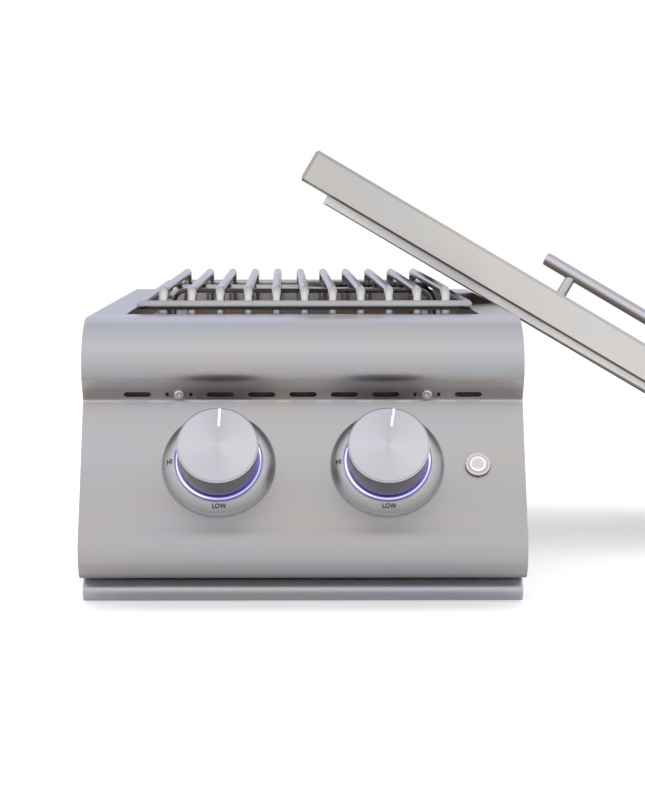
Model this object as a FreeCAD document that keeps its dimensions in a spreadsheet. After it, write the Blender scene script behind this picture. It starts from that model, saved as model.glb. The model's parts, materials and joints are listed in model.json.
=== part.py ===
"""Built-in gas side burner with two burners, lit knobs, a lift-out grate and a lift-off lid.

Millimetres, +X to the cook's right, +Y to the back, +Z up. The origin is the centre of the
deck on the plane where its folded rim rests on the counter. The lid leans on the right edge
of the deck with its lower end on the ground, as it is put down while cooking.
"""
import FreeCAD
import Part
import Sketcher
import math
import os
from types import SimpleNamespace

# Driving sizes, in millimetres and degrees, each written once. All of them go into the sheet
# under their own names, and every other size follows from them.

# Deck, grate opening and outer box
deck_width = 356
deck_depth = 692
deck_sheet = 1.2
hem_width = 9
opening_side_strip = 29
front_strip = 55
rear_strip = 17
ground_depth = 227.2
box_side_setback = 20
box_sheet = 1
box_flange = 8
box_front_setback = 6
box_rear_setback = 9.5
fit_gap = 0.3

# Front panel profile, from the deck seam over the nose and down to its bottom fold
panel_sheet = 1.2
nose_top_radius = 84
nose_top_turn = 34
nose_front_radius = 28
nose_under_radius = 20
underside_turn = 41
underside_length = 19.2
panel_lean = 29.5
panel_slope = 108
flare_radius = 60
flare_turn = 8
roll_radius = 24
panel_rear_gap = 1
tongue_reach = 4.5
tongue_lap = 8

# Where the knobs and the switch sit on the slope
knob_spacing = 134.8
knob_down_slope = 57.9
switch_from_edge = 38

# Burner pan
pan_sheet = 0.8
pan_flange = 5
ledge_depth = 16
ledge_width = 34
well_depth = 62
burner_hole = 48.5
burner_from_end = 143

# Burners and igniters
burner_radius = 48
burner_wall = 3
burner_flange = 58
flange_sheet = 3
burner_top_depth = 40
burner_bottom_depth = 112
port_ring_height = 18
port_ring_wall = 8
port_width = 1.8
port_height = 9
port_count = 32
cap_height = 8
cap_overhang = 1
cap_spigot = 4
cap_edge = 2.5
venturi_radius = 14
venturi_bore = 11
venturi_reach = 78
venturi_drop = 96
mouth_flare = 6
mouth_plate = 2
air_hole = 3.5
air_hole_circle = 12.5
orifice_radius = 6
orifice_behind = 20
orifice_ahead = 8
orifice_tip = 3
igniter_from_burner = 64
igniter_radius = 3
igniter_top_depth = 30
igniter_bottom_depth = 76
igniter_seat = 5
igniter_seat_height = 4
igniter_wire = 0.9
igniter_wire_depth = 25
igniter_gap = 5
igniter_wire_bend = 2
burner_screw_radius = 2
burner_screw_head = 3.4
burner_screw_circle = 54
screw_head_height = 2.2

# Gas line and valves
manifold_up = -26
manifold_out = -38
manifold_radius = 9.5
manifold_bore = 7.5
manifold_left = 92
manifold_right = 106
pipe_from_box_side = 18
pipe_radius = 7
pipe_bore = 5.5
pipe_bend = 20
bonnet_radius = 11
valve_half = 12
valve_low = 14
valve_front = 28
valve_back = 50
outlet_radius = 6
outlet_length = 8
cavity_radius = 8.5
cavity_top = 14.8
cavity_bottom = 30
mouth_radius = 5
stem_radius = 4
stem_play = 0.05
stem_in = 34
stem_out = 28
guide_bottom = 44
tube_radius = 4
tube_bore = 3
tube_bend = 12
tube_rise = 36
tube_lead = 18
tube_run = 40
inlet_radius = 7.9
inlet_length = 24
inlet_bore = 5.5
inlet_hex = 13
inlet_hex_length = 10
inlet_neck = 9.5
inlet_neck_length = 6
inlet_nut = 13
inlet_nut_height = 4
bracket_x = 36
bracket_half = 8
bracket_sheet = 2.5
bracket_foot = 12
lead_radius = 1.6
lead_bend = 6
lead_z = 104
hole_play = 0.6

# Knobs, bezels and light rings
bezel_radius = 45.65
bezel_hole = 10
bezel_edge = 1
bezel_rise = 10.2
bezel_rim = 0.7
bezel_wall = 2.2
ring_seat = 2
ring_inner = 31.6
ring_outer = 35.2
ring_height = 7.9
ring_play = 0.3
seat_wall = 2
seat_wall_top = 7
panel_stem_hole = 8
collar_radius = 8.2
collar_height = 3
collar_gap = 0.3
spring_radius = 6.3
spring_wire = 1.2
spring_turns = 4
spring_clear = 0.6
push_travel = 3.5
knob_radius = 32.5
knob_base_radius = 31.2
knob_back = 11.5
knob_wall = 3.5
knob_web = 22
knob_hub = 10
face_start = 37
face_sheet = 3
face_chamfer = 1.2
pointer_width = 2.9
pointer_length = 16.5
pointer_depth = 0.6
right_knob_turn = -6
left_knob_turn = 0

# Light switch
switch_flange = 10.25
switch_flange_height = 2.2
switch_barrel = 8
switch_depth = 26
switch_well = 10
button_radius = 5.3
button_play = 0.1
button_bottom = 6
button_top = 3.2
button_travel = 2
light_inner = 5.9
light_outer = 7.4
light_seat = 0.8
light_top = 2.5
switch_nut_radius = 12
switch_nut_height = 4
terminal_length = 6
terminal_half = 2
switch_spring_radius = 3.2
switch_spring_wire = 0.5
switch_spring_turns = 2.5

# Light driver, power inlet and leads
driver_half = 30
driver_depth = 20
driver_top = 92
driver_bottom = 118
jack_from_box_side = 18
jack_z = 112
jack_radius = 5.5
jack_flange = 8
jack_flange_sheet = 1.5
jack_inside = 12
jack_outside = 3
jack_bore = 3
lead_in_panel = 22
lead_to_driver = 15
driver_lead_x = 20

# Outer box, drip tray and rails
tray_from_box_side = 10
tray_from_box_back = 36.5
tray_sheet = 1
tray_top_depth = 206.9
tray_bottom_depth = 225
tray_slot_play = 1.5
rail_foot = 17
rail_sheet = 0.9
rail_height = 20
strip_radius = 9.6
strip_sheet = 1.2
strip_ahead = 6
strip_height_above_ground = 1.5
vent_count = 5
vent_length = 60
vent_width = 8
vent_pitch = 100
vent_z = 40

# Slots, holes, end plates and screws of the front panel
slot_count = 9
slot_pitch = 33.4
slot_length = 22.1
slot_width = 5.5
slot_up = 6
panel_screw_up = 6.6
panel_screw_head = 4.3
panel_screw_height = 1.6
panel_screw_recess = 1.4
panel_screw_recess_depth = 1
panel_screw_radius = 2
panel_screw_length = 5.5
tab_half = 8.5
tab_low = 1
tab_high = 14
tab_sheet = 2

# Grate
bar_count = 11
rod_radius = 4
bar_bend = 9
bar_top_above_deck = 23.2
leg_from_front = 23
leg_from_back = 15
ring_above_deck = 7
ring_corner = 13
ring_from_side = 9.8
end_bar_from_ring = 19.45
cross_from_ring = 14.8
cross_bend = 13
weld_gap = 0.05
grate_turn = 0.3

# Lid, liner and handle
lid_end_setback = 5
lid_side_setback = 6
lid_skirt = 29.4
lid_sheet = 1.2
lid_lean = 30.5
lid_near = 79
liner_end_gap = 1
liner_side_gap = 1.7
liner_rim = 9.5
liner_sheet = 0.8
liner_recess = 2
bar_radius = 6.5
bar_length = 188
bar_height = 25.5
bar_end = 2
post_radius = 5.1
post_spacing = 125
handle_screw_radius = 2.5
handle_screw_reach = 12
handle_head = 4.5
handle_head_height = 1.8
lid_edge = 3
liner_play = 0.1

Vector = FreeCAD.Vector
Rotation = FreeCAD.Rotation

doc = FreeCAD.newDocument("SideBurner")
sheet = doc.addObject("Spreadsheet::Sheet", "Sizes")
nodes = []
cell_row = [0]


# Sizes that know both their number and their formula

class Size:
    """A length, angle or count with its number now and its formula in the sheet."""

    def __init__(self, number, formula=None):
        self.number = float(number)
        self.formula = formula if formula is not None else repr(float(number))

    def join(self, sign, other, swap=False):
        other = as_size(other)
        left, right = (other, self) if swap else (self, other)
        results = {
            "+": left.number + right.number,
            "-": left.number - right.number,
            "*": left.number * right.number,
        }
        number = results[sign] if sign in results else left.number / right.number
        return Size(number, "(" + left.formula + " " + sign + " " + right.formula + ")")

    def __add__(self, other):
        return self.join("+", other)

    def __radd__(self, other):
        return self.join("+", other, True)

    def __sub__(self, other):
        return self.join("-", other)

    def __rsub__(self, other):
        return self.join("-", other, True)

    def __mul__(self, other):
        return self.join("*", other)

    def __rmul__(self, other):
        return self.join("*", other, True)

    def __truediv__(self, other):
        return self.join("/", other)

    def __neg__(self):
        return Size(0).join("-", self)


def as_size(value):
    return value if isinstance(value, Size) else Size(value)


def sine(angle):
    return Size(math.sin(math.radians(angle.number)), "sin(" + angle.formula + ")")


def cosine(angle):
    return Size(math.cos(math.radians(angle.number)), "cos(" + angle.formula + ")")


def put_cell(name, text):
    cell_row[0] += 1
    sheet.set("A" + str(cell_row[0]), name)
    sheet.set("B" + str(cell_row[0]), text)
    sheet.setAlias("B" + str(cell_row[0]), name)


def derived(**values):
    """Sizes that follow from the driving ones."""
    for name, value in values.items():
        put_cell(name, "=" + value.formula.replace("Sizes.", ""))
        setattr(S, name, Size(value.number, "Sizes." + name))


S = SimpleNamespace()
for name, value in list(globals().items()):
    if isinstance(value, (int, float)):
        put_cell(name, str(value))
        setattr(S, name, Size(value, "Sizes." + name))

# Deck, grate opening and outer box
derived(
    half_width=S.deck_width / 2,
    deck_front=-S.deck_depth / 2,
    deck_back=S.deck_depth / 2,
    deck_top=S.deck_sheet * 2,
    ground_z=-S.ground_depth,
    box_half=S.deck_width / 2 - S.box_side_setback,
    opening_width=S.deck_width - S.opening_side_strip * 2,
    opening_length=S.deck_depth - S.front_strip - S.rear_strip,
    switch_from_centre=S.deck_width / 2 - S.switch_from_edge,
)
derived(
    opening_front=S.deck_front + S.front_strip,
    opening_back=S.deck_front + S.front_strip + S.opening_length,
    opening_half=S.opening_width / 2,
    box_front=S.deck_front + S.box_front_setback,
    box_back=S.deck_back - S.box_rear_setback,
    box_inner_half=S.box_half - S.box_sheet,
    pipe_x=S.box_half - S.pipe_from_box_side,
    jack_x=S.box_half - S.jack_from_box_side,
)

# Front panel profile, followed from the deck seam over the nose and down to its bottom fold


class Pen:
    """Walks the profile. Heading 0 is forward (-Y), 90 is down and 180 is back."""

    def __init__(self, depth, height):
        self.depth = depth
        self.height = height
        self.heading = Size(0)
        self.pieces = []

    def at(self):
        return Vector(0, self.depth.number, self.height.number)

    def straight(self, length):
        start = self.at()
        self.depth = self.depth - length * cosine(self.heading)
        self.height = self.height - length * sine(self.heading)
        self.pieces.append(Part.LineSegment(start, self.at()).toShape())

    def arc(self, radius, turn):
        """Turns down for a positive angle and up for a negative one."""
        side = 1 if turn.number > 0 else -1
        start = self.at()
        middle = self.on_arc(radius * side, self.heading + turn / 2)
        end = self.on_arc(radius * side, self.heading + turn)
        self.depth, self.height = end
        self.heading = self.heading + turn
        self.pieces.append(Part.Arc(start, spot(middle), self.at()).toShape())

    def on_arc(self, radius, heading):
        depth = self.depth - radius * (sine(heading) - sine(self.heading))
        height = self.height - radius * (cosine(self.heading) - cosine(heading))
        return depth, height

    def turn(self, angle):
        self.heading = self.heading + angle


def spot(pair):
    return Vector(0, pair[0].number, pair[1].number)


pen = Pen(S.deck_front, S.deck_top)
pen.arc(S.nose_top_radius, S.nose_top_turn)
derived(after_top_y=pen.depth, after_top_z=pen.height)
pen.depth, pen.height = S.after_top_y, S.after_top_z
pen.arc(S.nose_front_radius, 90 - S.nose_top_turn)
derived(nose_y=pen.depth, nose_z=pen.height)
pen.depth, pen.height = S.nose_y, S.nose_z
pen.arc(S.nose_under_radius, S.underside_turn)
pen.straight(S.underside_length)
derived(crease_y=pen.depth, crease_z=pen.height)
pen.depth, pen.height = S.crease_y, S.crease_z
pen.turn(-S.underside_turn - S.panel_lean)
pen.straight(S.panel_slope)
derived(slope_end_y=pen.depth, slope_end_z=pen.height)
pen.depth, pen.height = S.slope_end_y, S.slope_end_z
pen.arc(S.flare_radius, -S.flare_turn)
pen.arc(S.roll_radius, 90 + S.panel_lean + S.flare_turn)
derived(roll_end_y=pen.depth, panel_bottom=pen.height)
pen.depth, pen.height = S.roll_end_y, S.panel_bottom
pen.heading = Size(180)
derived(panel_rear=S.deck_front - S.panel_rear_gap)
pen.straight(S.panel_rear - S.roll_end_y)
outer_profile = pen.pieces

# Where the knobs and the switch sit on the slope, and the angle of their axes
derived(
    knob_y=S.crease_y - S.knob_down_slope * sine(S.panel_lean),
    knob_z=S.crease_z - S.knob_down_slope * cosine(S.panel_lean),
    knob_x=S.knob_spacing / 2,
    axis_turn=90 - S.panel_lean,
)


# Helpers that make and place document objects

def bind(thing, values):
    for path, value in values.items():
        thing.setExpression(path, as_size(value).formula)


def place(thing, x=0, y=0, z=0):
    base = Vector(as_size(x).number, as_size(y).number, as_size(z).number)
    thing.Placement = FreeCAD.Placement(base, thing.Placement.Rotation)
    bind(thing, {"Placement.Base.x": x, "Placement.Base.y": y, "Placement.Base.z": z})
    return thing


def block(low, high):
    """A box between two corners."""
    thing = doc.addObject("Part::Box", "Block")
    low = [as_size(value) for value in low]
    high = [as_size(value) for value in high]
    bind(thing, {
        "Length": high[0] - low[0],
        "Width": high[1] - low[1],
        "Height": high[2] - low[2],
    })
    return place(thing, *low)


TURNS = {
    "x": Rotation(Vector(0, 1, 0), 90),
    "y": Rotation(Vector(1, 0, 0), -90),
    "z": Rotation(),
}


def rod(start, axis, length, radius):
    """A cylinder from a point along x, y or z."""
    thing = doc.addObject("Part::Cylinder", "Rod")
    thing.Placement = FreeCAD.Placement(Vector(), TURNS[axis])
    bind(thing, {"Radius": radius, "Height": length})
    return place(thing, *start)


def taper(start, axis, length, radius_start, radius_end):
    thing = doc.addObject("Part::Cone", "Taper")
    thing.Placement = FreeCAD.Placement(Vector(), TURNS[axis])
    bind(thing, {"Radius1": radius_start, "Radius2": radius_end, "Height": length})
    return place(thing, *start)


def cut(base, *tools):
    thing = doc.addObject("Part::Cut", "Cut")
    thing.Base = base
    thing.Tool = tools[0] if len(tools) == 1 else gather(*tools)
    return thing


def gather(*parts):
    """Several shapes in one object, joined where they touch."""
    thing = doc.addObject("Part::MultiFuse", "Joined")
    thing.Shapes = list(parts)
    return thing


def group(*parts):
    """Separate solids that share one node."""
    thing = doc.addObject("Part::Compound", "Group")
    thing.Links = list(parts)
    return thing


def node(name, thing):
    thing.Label = name
    nodes.append(thing)
    return thing


def solid(name, shape, x=0):
    """A shape worked out in code from the sizes in the sheet, and set across by a size."""
    thing = doc.addObject("Part::Feature", "Formed")
    thing.Shape = shape
    thing.Placement = FreeCAD.Placement()
    place(thing, x)
    if name:
        node(name, thing)
    return thing


def tilt(thing, x, up=0, out=0):
    """Puts a thing made along +Z on a knob axis, at a distance across, up and out of the slope."""
    up, out = as_size(up), as_size(out)
    thing.Placement = FreeCAD.Placement(Vector(), Rotation(Vector(1, 0, 0), S.axis_turn.number))
    thing.setExpression("Placement.Rotation.Angle", S.axis_turn.formula)
    y = S.knob_y + up * sine(S.panel_lean) - out * cosine(S.panel_lean)
    z = S.knob_z + up * cosine(S.panel_lean) + out * sine(S.panel_lean)
    return place(thing, x, y, z)


def on_axis(x, across=0, up=0, out=0):
    """A point given in a knob's own frame, as three sizes in the part's frame."""
    across, up, out = as_size(across), as_size(up), as_size(out)
    return (
        x + across,
        S.knob_y + up * sine(S.panel_lean) - out * cosine(S.panel_lean),
        S.knob_z + up * cosine(S.panel_lean) + out * sine(S.panel_lean),
    )


def numbers(point):
    return Vector(*[as_size(value).number for value in point])


def tube_path(points, radius):
    """Straight runs joined by arcs that touch them, through points given by sizes."""
    corners = [numbers(point) for point in points]
    edges = []
    start = corners[0]
    for before, corner, after in zip(corners, corners[1:], corners[2:]):
        back = (before - corner).normalize()
        ahead = (after - corner).normalize()
        half = back.getAngle(ahead) / 2
        reach = radius / math.tan(half)
        first = corner + back * reach
        last = corner + ahead * reach
        inward = (back + ahead).normalize()
        middle = corner + inward * (radius / math.sin(half) - radius)
        edges.append(Part.LineSegment(start, first).toShape())
        edges.append(Part.Arc(first, middle, last).toShape())
        start = last
    edges.append(Part.LineSegment(start, corners[-1]).toShape())
    return Part.Wire(edges)


def tube(points, bend, radius, bore=None):
    """A bent round rod or pipe."""
    path = tube_path(points, as_size(bend).number)
    corners = [numbers(point) for point in points]
    along = corners[1] - corners[0]
    shape = None
    for size in (radius, bore):
        if size is None:
            continue
        ring = Part.Wire([Part.makeCircle(as_size(size).number, corners[0], along)])
        pipe = path.makePipeShell([ring], True, False)
        shape = pipe if shape is None else shape.cut(pipe)
    return shape


class Sketched:
    """A body whose sketches are polygons and circles tied to the sizes."""

    def __init__(self, name):
        self.body = doc.addObject("PartDesign::Body", name)
        node(name, self.body)
        self.count = 0

    def sketch(self, plane, offset=0):
        self.count += 1
        sketch = self.body.newObject("Sketcher::SketchObject", "Outline")
        for feature in self.body.Origin.OriginFeatures:
            if feature.Role == plane:
                sketch.AttachmentSupport = (feature, [""])
        sketch.MapMode = "FlatFace"
        bind(sketch, {"AttachmentOffset.Base.z": offset})
        return sketch

    def feature(self, kind, sketch):
        thing = self.body.newObject("PartDesign::" + kind, kind)
        thing.Profile = sketch
        return thing

    def pad(self, sketch, length):
        thing = self.feature("Pad", sketch)
        bind(thing, {"Length": length})
        return thing

    def pocket(self, sketch, length, reversed_way=True):
        thing = self.feature("Pocket", sketch)
        thing.Reversed = reversed_way
        bind(thing, {"Length": length})
        return thing

    def turn(self, sketch):
        thing = self.feature("Revolution", sketch)
        thing.ReferenceAxis = (sketch, ["V_Axis"])
        thing.Angle = 360
        return thing

    def around(self, feature, sketch, count):
        doc.recompute()
        thing = self.body.newObject("PartDesign::PolarPattern", "Pattern")
        thing.Originals = [feature]
        thing.Axis = (sketch, ["N_Axis"])
        thing.Angle = 360
        bind(thing, {"Occurrences": count})
        self.body.Tip = thing
        return thing


def polygon(sketch, corners):
    """A closed outline with the place of every corner tied to the sheet."""
    corners = [(as_size(across), as_size(along)) for across, along in corners]
    first = sketch.GeometryCount
    count = len(corners)
    for index in range(count):
        start, end = corners[index], corners[(index + 1) % count]
        sketch.addGeometry(Part.LineSegment(
            Vector(start[0].number, start[1].number, 0), Vector(end[0].number, end[1].number, 0)))
    for index in range(count):
        following = first + (index + 1) % count
        sketch.addConstraint(Sketcher.Constraint("Coincident", first + index, 2, following, 1))
    for index, corner in enumerate(corners):
        for kind, value in zip(("DistanceX", "DistanceY"), corner):
            number = sketch.addConstraint(
                Sketcher.Constraint(kind, -1, 1, first + index, 1, value.number))
            sketch.setExpression("Constraints[" + str(number) + "]", value.formula)


def rectangle(sketch, low, high):
    polygon(sketch, [low, (high[0], low[1]), high, (low[0], high[1])])


def circle(sketch, across, along, radius):
    across, along, radius = as_size(across), as_size(along), as_size(radius)
    centre = Vector(across.number, along.number, 0)
    number = sketch.addGeometry(Part.Circle(centre, Vector(0, 0, 1), radius.number))
    size = sketch.addConstraint(Sketcher.Constraint("Radius", number, radius.number))
    sketch.setExpression("Constraints[" + str(size) + "]", radius.formula)
    for kind, value in (("DistanceX", across), ("DistanceY", along)):
        place_of = sketch.addConstraint(Sketcher.Constraint(kind, -1, 1, number, 3, value.number))
        sketch.setExpression("Constraints[" + str(place_of) + "]", value.formula)


# Top deck: one sheet with a folded hem under three edges and the grate opening

deck = Sketched("top_deck")
outline = deck.sketch("XY_Plane", S.deck_sheet)
rectangle(outline, (-S.half_width, S.deck_front), (S.half_width, S.deck_back))
deck.pad(outline, S.deck_sheet)
hem = deck.sketch("XY_Plane")
polygon(hem, [
    (-S.half_width, S.deck_front), (-S.half_width + S.hem_width, S.deck_front),
    (-S.half_width + S.hem_width, S.deck_back - S.hem_width),
    (S.half_width - S.hem_width, S.deck_back - S.hem_width),
    (S.half_width - S.hem_width, S.deck_front), (S.half_width, S.deck_front),
    (S.half_width, S.deck_back), (-S.half_width, S.deck_back),
])
deck.pad(hem, S.deck_sheet)
opening = deck.sketch("XY_Plane", S.deck_top)
rectangle(opening, (-S.opening_half, S.opening_front), (S.opening_half, S.opening_back))
deck.pocket(opening, S.deck_top, False)

# Burner pan: flange under the deck, a ledge for the grate and a well with two burner holes

derived(
    ledge_top=-S.ledge_depth,
    well_floor=-S.well_depth,
    pan_top=S.deck_sheet,
    front_burner_y=S.opening_front + S.ledge_width + S.burner_from_end,
    rear_burner_y=S.opening_back - S.ledge_width - S.burner_from_end,
    well_half=S.opening_half - S.ledge_width,
    well_front=S.opening_front + S.ledge_width,
    well_back=S.opening_back - S.ledge_width,
)


def around_opening(spread, low, high):
    """A block over the opening, wider by a spread on every side."""
    return block(
        (-S.opening_half - spread, S.opening_front - spread, low),
        (S.opening_half + spread, S.opening_back + spread, high))


pan_outside = gather(
    around_opening(S.pan_flange, S.pan_top - S.pan_sheet, S.pan_top),
    around_opening(S.pan_sheet, S.ledge_top - S.pan_sheet, S.pan_top),
    around_opening(S.pan_sheet - S.ledge_width, S.well_floor - S.pan_sheet, S.ledge_top),
)
pan_inside = gather(
    around_opening(0, S.ledge_top, S.pan_top),
    around_opening(-S.ledge_width, S.well_floor, S.ledge_top),
)

# Burners: cast base with its mixing tube, brass port ring, loose cap and igniter

derived(
    burner_top=-S.burner_top_depth,
    burner_bottom=-S.burner_bottom_depth,
    ring_top=S.port_ring_height - S.burner_top_depth,
    venturi_z=-S.venturi_drop,
    flange_top=S.well_floor - S.pan_sheet,
    igniter_top=-S.igniter_top_depth,
    igniter_bottom=-S.igniter_bottom_depth,
    igniter_wire_z=-S.igniter_wire_depth,
    mouth_from_burner=S.burner_radius + S.venturi_reach,
)
# The front igniter stands on the left of its burner and the rear one on the right
BURNERS = (("front", S.front_burner_y, -1), ("rear", S.rear_burner_y, 1))


def burner_screw_rods(y, low, length, radius):
    rods = []
    for turn in (45, 135, 225, 315):
        across = S.burner_screw_circle * math.cos(math.radians(turn))
        along = S.burner_screw_circle * math.sin(math.radians(turn))
        rods.append(rod((across, y + along, low), "z", length, radius))
    return rods


pan_holes = []
for side, y, way in BURNERS:
    low = S.well_floor - S.pan_sheet
    pan_holes.append(rod((0, y, low), "z", S.pan_sheet, S.burner_hole))
    pan_holes.append(
        rod((way * S.igniter_from_burner, y, low), "z", S.pan_sheet, S.igniter_radius))
    pan_holes += burner_screw_rods(y, low, S.pan_sheet, S.burner_screw_radius)
node("burner_pan", cut(cut(pan_outside, pan_inside), *pan_holes))


def burner_base(side, y):
    mouth = y - S.mouth_from_burner
    depth = S.burner_top - S.burner_bottom
    outside = gather(
        rod((0, y, S.burner_bottom), "z", depth, S.burner_radius),
        rod((0, y, S.flange_top - S.flange_sheet), "z", S.flange_sheet, S.burner_flange),
        rod((0, mouth, S.venturi_z), "y", S.venturi_reach + S.burner_wall, S.venturi_radius),
        taper((0, mouth, S.venturi_z), "y", S.venturi_radius,
              S.venturi_radius + S.mouth_flare, S.venturi_radius),
    )
    inside = gather(
        rod((0, y, S.burner_bottom + S.burner_wall), "z", depth, S.burner_radius - S.burner_wall),
        rod((0, mouth + S.mouth_plate, S.venturi_z), "y",
            S.venturi_reach + S.burner_wall * 2, S.venturi_bore),
        taper((0, mouth + S.mouth_plate, S.venturi_z), "y", S.venturi_radius - S.mouth_plate,
              S.venturi_bore + S.mouth_flare, S.venturi_bore),
    )
    openings = [rod((0, mouth, S.venturi_z), "y", S.mouth_plate, S.orifice_radius)]
    for across, up in ((1, 0), (0, 1), (-1, 0), (0, -1)):
        place_of = (S.air_hole_circle * across, mouth, S.venturi_z + S.air_hole_circle * up)
        openings.append(rod(place_of, "y", S.mouth_plate, S.air_hole))
    openings += burner_screw_rods(
        y, S.flange_top - S.flange_sheet, S.flange_sheet, S.burner_screw_radius)
    node(side + "_burner_base", cut(outside, inside, *openings))


def burner_ring(side, y):
    ring = Sketched(side + "_burner_ring")
    section = ring.sketch("XZ_Plane")
    rectangle(section, (S.burner_radius - S.port_ring_wall, 0), (S.burner_radius, S.port_ring_height))
    ring.turn(section)
    port = ring.sketch("XY_Plane", S.port_ring_height)
    rectangle(port, (S.burner_radius - S.port_ring_wall - 1, -S.port_width / 2),
              (S.burner_radius + 1, S.port_width / 2))
    slot = ring.pocket(port, S.port_height, False)
    ring.around(slot, port, S.port_count)
    place(ring.body, 0, y, S.burner_top)


def burner_cap(side, y):
    cap = Sketched(side + "_burner_cap")
    section = cap.sketch("XZ_Plane")
    cap_radius = S.burner_radius + S.cap_overhang
    spigot = S.burner_radius - S.port_ring_wall - S.fit_gap
    polygon(section, [
        (0, -S.cap_spigot), (spigot, -S.cap_spigot), (spigot, 0), (cap_radius, 0),
        (cap_radius, S.cap_edge), (cap_radius * 0.96, S.cap_height * 0.6),
        (cap_radius * 0.82, S.cap_height * 0.85), (cap_radius * 0.5, S.cap_height),
        (0, S.cap_height),
    ])
    cap.turn(section)
    place(cap.body, 0, y, S.ring_top)


def igniter(side, y, way):
    x = way * S.igniter_from_burner
    tip_x = way * (S.burner_radius + S.igniter_gap)
    wire = solid(None, tube([
        (x, y, S.igniter_top), (x, y, S.igniter_wire_z), (tip_x, y, S.igniter_wire_z),
    ], S.igniter_wire_bend, S.igniter_wire))
    ceramic = gather(
        rod((x, y, S.igniter_bottom), "z", S.igniter_top - S.igniter_bottom, S.igniter_radius),
        rod((x, y, S.well_floor), "z", S.igniter_seat_height, S.igniter_seat),
        wire,
    )
    node(side + "_igniter", ceramic)


def orifice(y):
    mouth = y - S.mouth_from_burner
    barrel = rod((0, mouth - S.orifice_behind, S.venturi_z), "y",
                 S.orifice_behind + S.mouth_plate, S.orifice_radius)
    tip = taper((0, mouth + S.mouth_plate, S.venturi_z), "y", S.orifice_ahead,
                S.orifice_radius, S.orifice_tip)
    return gather(barrel, tip)


screws = []
for side, y, way in BURNERS:
    burner_base(side, y)
    burner_ring(side, y)
    burner_cap(side, y)
    igniter(side, y, way)
    shanks = burner_screw_rods(y, S.flange_top - S.flange_sheet,
                               S.flange_sheet + S.pan_sheet, S.burner_screw_radius)
    heads = burner_screw_rods(y, S.well_floor, S.screw_head_height, S.burner_screw_head)
    screws += [gather(shank, head) for shank, head in zip(shanks, heads)]
node("burner_screws", group(*screws))
node("gas_orifices", group(*[orifice(y) for side, y, way in BURNERS]))

# Gas line: manifold behind the panel, valves, their tubes, supply pipe and inlet

manifold_point = on_axis(Size(0), 0, S.manifold_up, S.manifold_out)
derived(
    manifold_y=manifold_point[1], manifold_z=manifold_point[2],
    inlet_y=S.box_back - S.box_sheet - S.inlet_hex_length,
    box_rear_inside=S.box_back - S.box_sheet,
    tube_start_out=-(S.valve_back + S.outlet_length),
)
manifold_start = (-S.manifold_left, S.manifold_y, S.manifold_z)
manifold_length = S.manifold_left + S.manifold_right


def manifold_rod(radius):
    return rod(manifold_start, "x", manifold_length, radius)


manifold_inside = rod((S.bracket_sheet - S.manifold_left, S.manifold_y, S.manifold_z), "x",
                      manifold_length, S.manifold_bore)
node("gas_manifold", cut(manifold_rod(S.manifold_radius), manifold_inside))

pipe_points = [
    (S.manifold_right, S.manifold_y, S.manifold_z),
    (S.pipe_x, S.manifold_y, S.manifold_z),
    (S.pipe_x, S.inlet_y, S.manifold_z),
]
solid("supply_pipe", tube(pipe_points, S.pipe_bend, S.pipe_radius, S.pipe_bore))

inlet = gather(
    rod((S.pipe_x, S.inlet_y, S.manifold_z), "y", S.inlet_hex_length, S.inlet_hex),
    rod((S.pipe_x, S.inlet_y, S.manifold_z), "y",
        S.inlet_hex_length + S.box_sheet + S.inlet_neck_length, S.inlet_neck),
    rod((S.pipe_x, S.inlet_y, S.manifold_z), "y",
        S.inlet_hex_length + S.box_sheet + S.inlet_length, S.inlet_radius),
)
inlet_hole = rod((S.pipe_x, S.inlet_y, S.manifold_z), "y",
                 S.inlet_hex_length + S.box_sheet + S.inlet_length, S.inlet_bore)
inlet_nut_ring = cut(
    rod((S.pipe_x, S.box_back, S.manifold_z), "y", S.inlet_nut_height, S.inlet_nut),
    rod((S.pipe_x, S.box_back, S.manifold_z), "y", S.inlet_nut_height,
        S.inlet_neck + S.stem_play))
node("gas_inlet", group(cut(inlet, inlet_hole), inlet_nut_ring))

brackets = []
for way in (-1, 1):
    x = way * S.bracket_x
    low, high = x - S.bracket_half, x + S.bracket_half
    arm = block((low, S.manifold_y, S.manifold_z - S.bracket_sheet / 2),
                (high, S.box_front, S.manifold_z + S.bracket_sheet / 2))
    foot = block((low, S.box_front - S.bracket_sheet, S.manifold_z - S.bracket_foot),
                 (high, S.box_front, S.manifold_z + S.bracket_foot))
    band = rod((low, S.manifold_y, S.manifold_z), "x",
               S.bracket_half * 2, S.manifold_radius + S.bracket_sheet)
    bore = rod((low, S.manifold_y, S.manifold_z), "x", S.bracket_half * 2, S.manifold_radius)
    brackets.append(cut(gather(arm, foot, band), bore))
node("manifold_brackets", group(*brackets))


def valve(side, x):
    """Brass tap made along its stem, seated on the back of the panel."""
    outside = gather(
        rod((0, 0, -S.valve_back), "z", S.valve_back - S.panel_sheet, S.bonnet_radius),
        block((-S.valve_half, -S.valve_low, -S.valve_back),
              (S.valve_half, S.valve_half, -S.valve_front)),
        rod((0, S.manifold_up, S.manifold_out), "y", -S.manifold_up, S.valve_half * 0.7),
        rod((0, 0, -S.valve_back - S.outlet_length), "z", S.outlet_length, S.outlet_radius),
    )
    inside = gather(
        rod((0, 0, -S.cavity_bottom), "z", S.cavity_bottom - S.cavity_top, S.cavity_radius),
        rod((0, 0, -S.cavity_top), "z", S.cavity_top, S.mouth_radius),
        rod((0, 0, -S.guide_bottom), "z", S.guide_bottom, S.stem_radius + S.stem_play),
    )
    pipe = rod((-S.valve_half, S.manifold_up, S.manifold_out), "x",
               S.valve_half * 2, S.manifold_radius)
    node(side + "_valve", tilt(cut(outside, inside, pipe), x))


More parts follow.
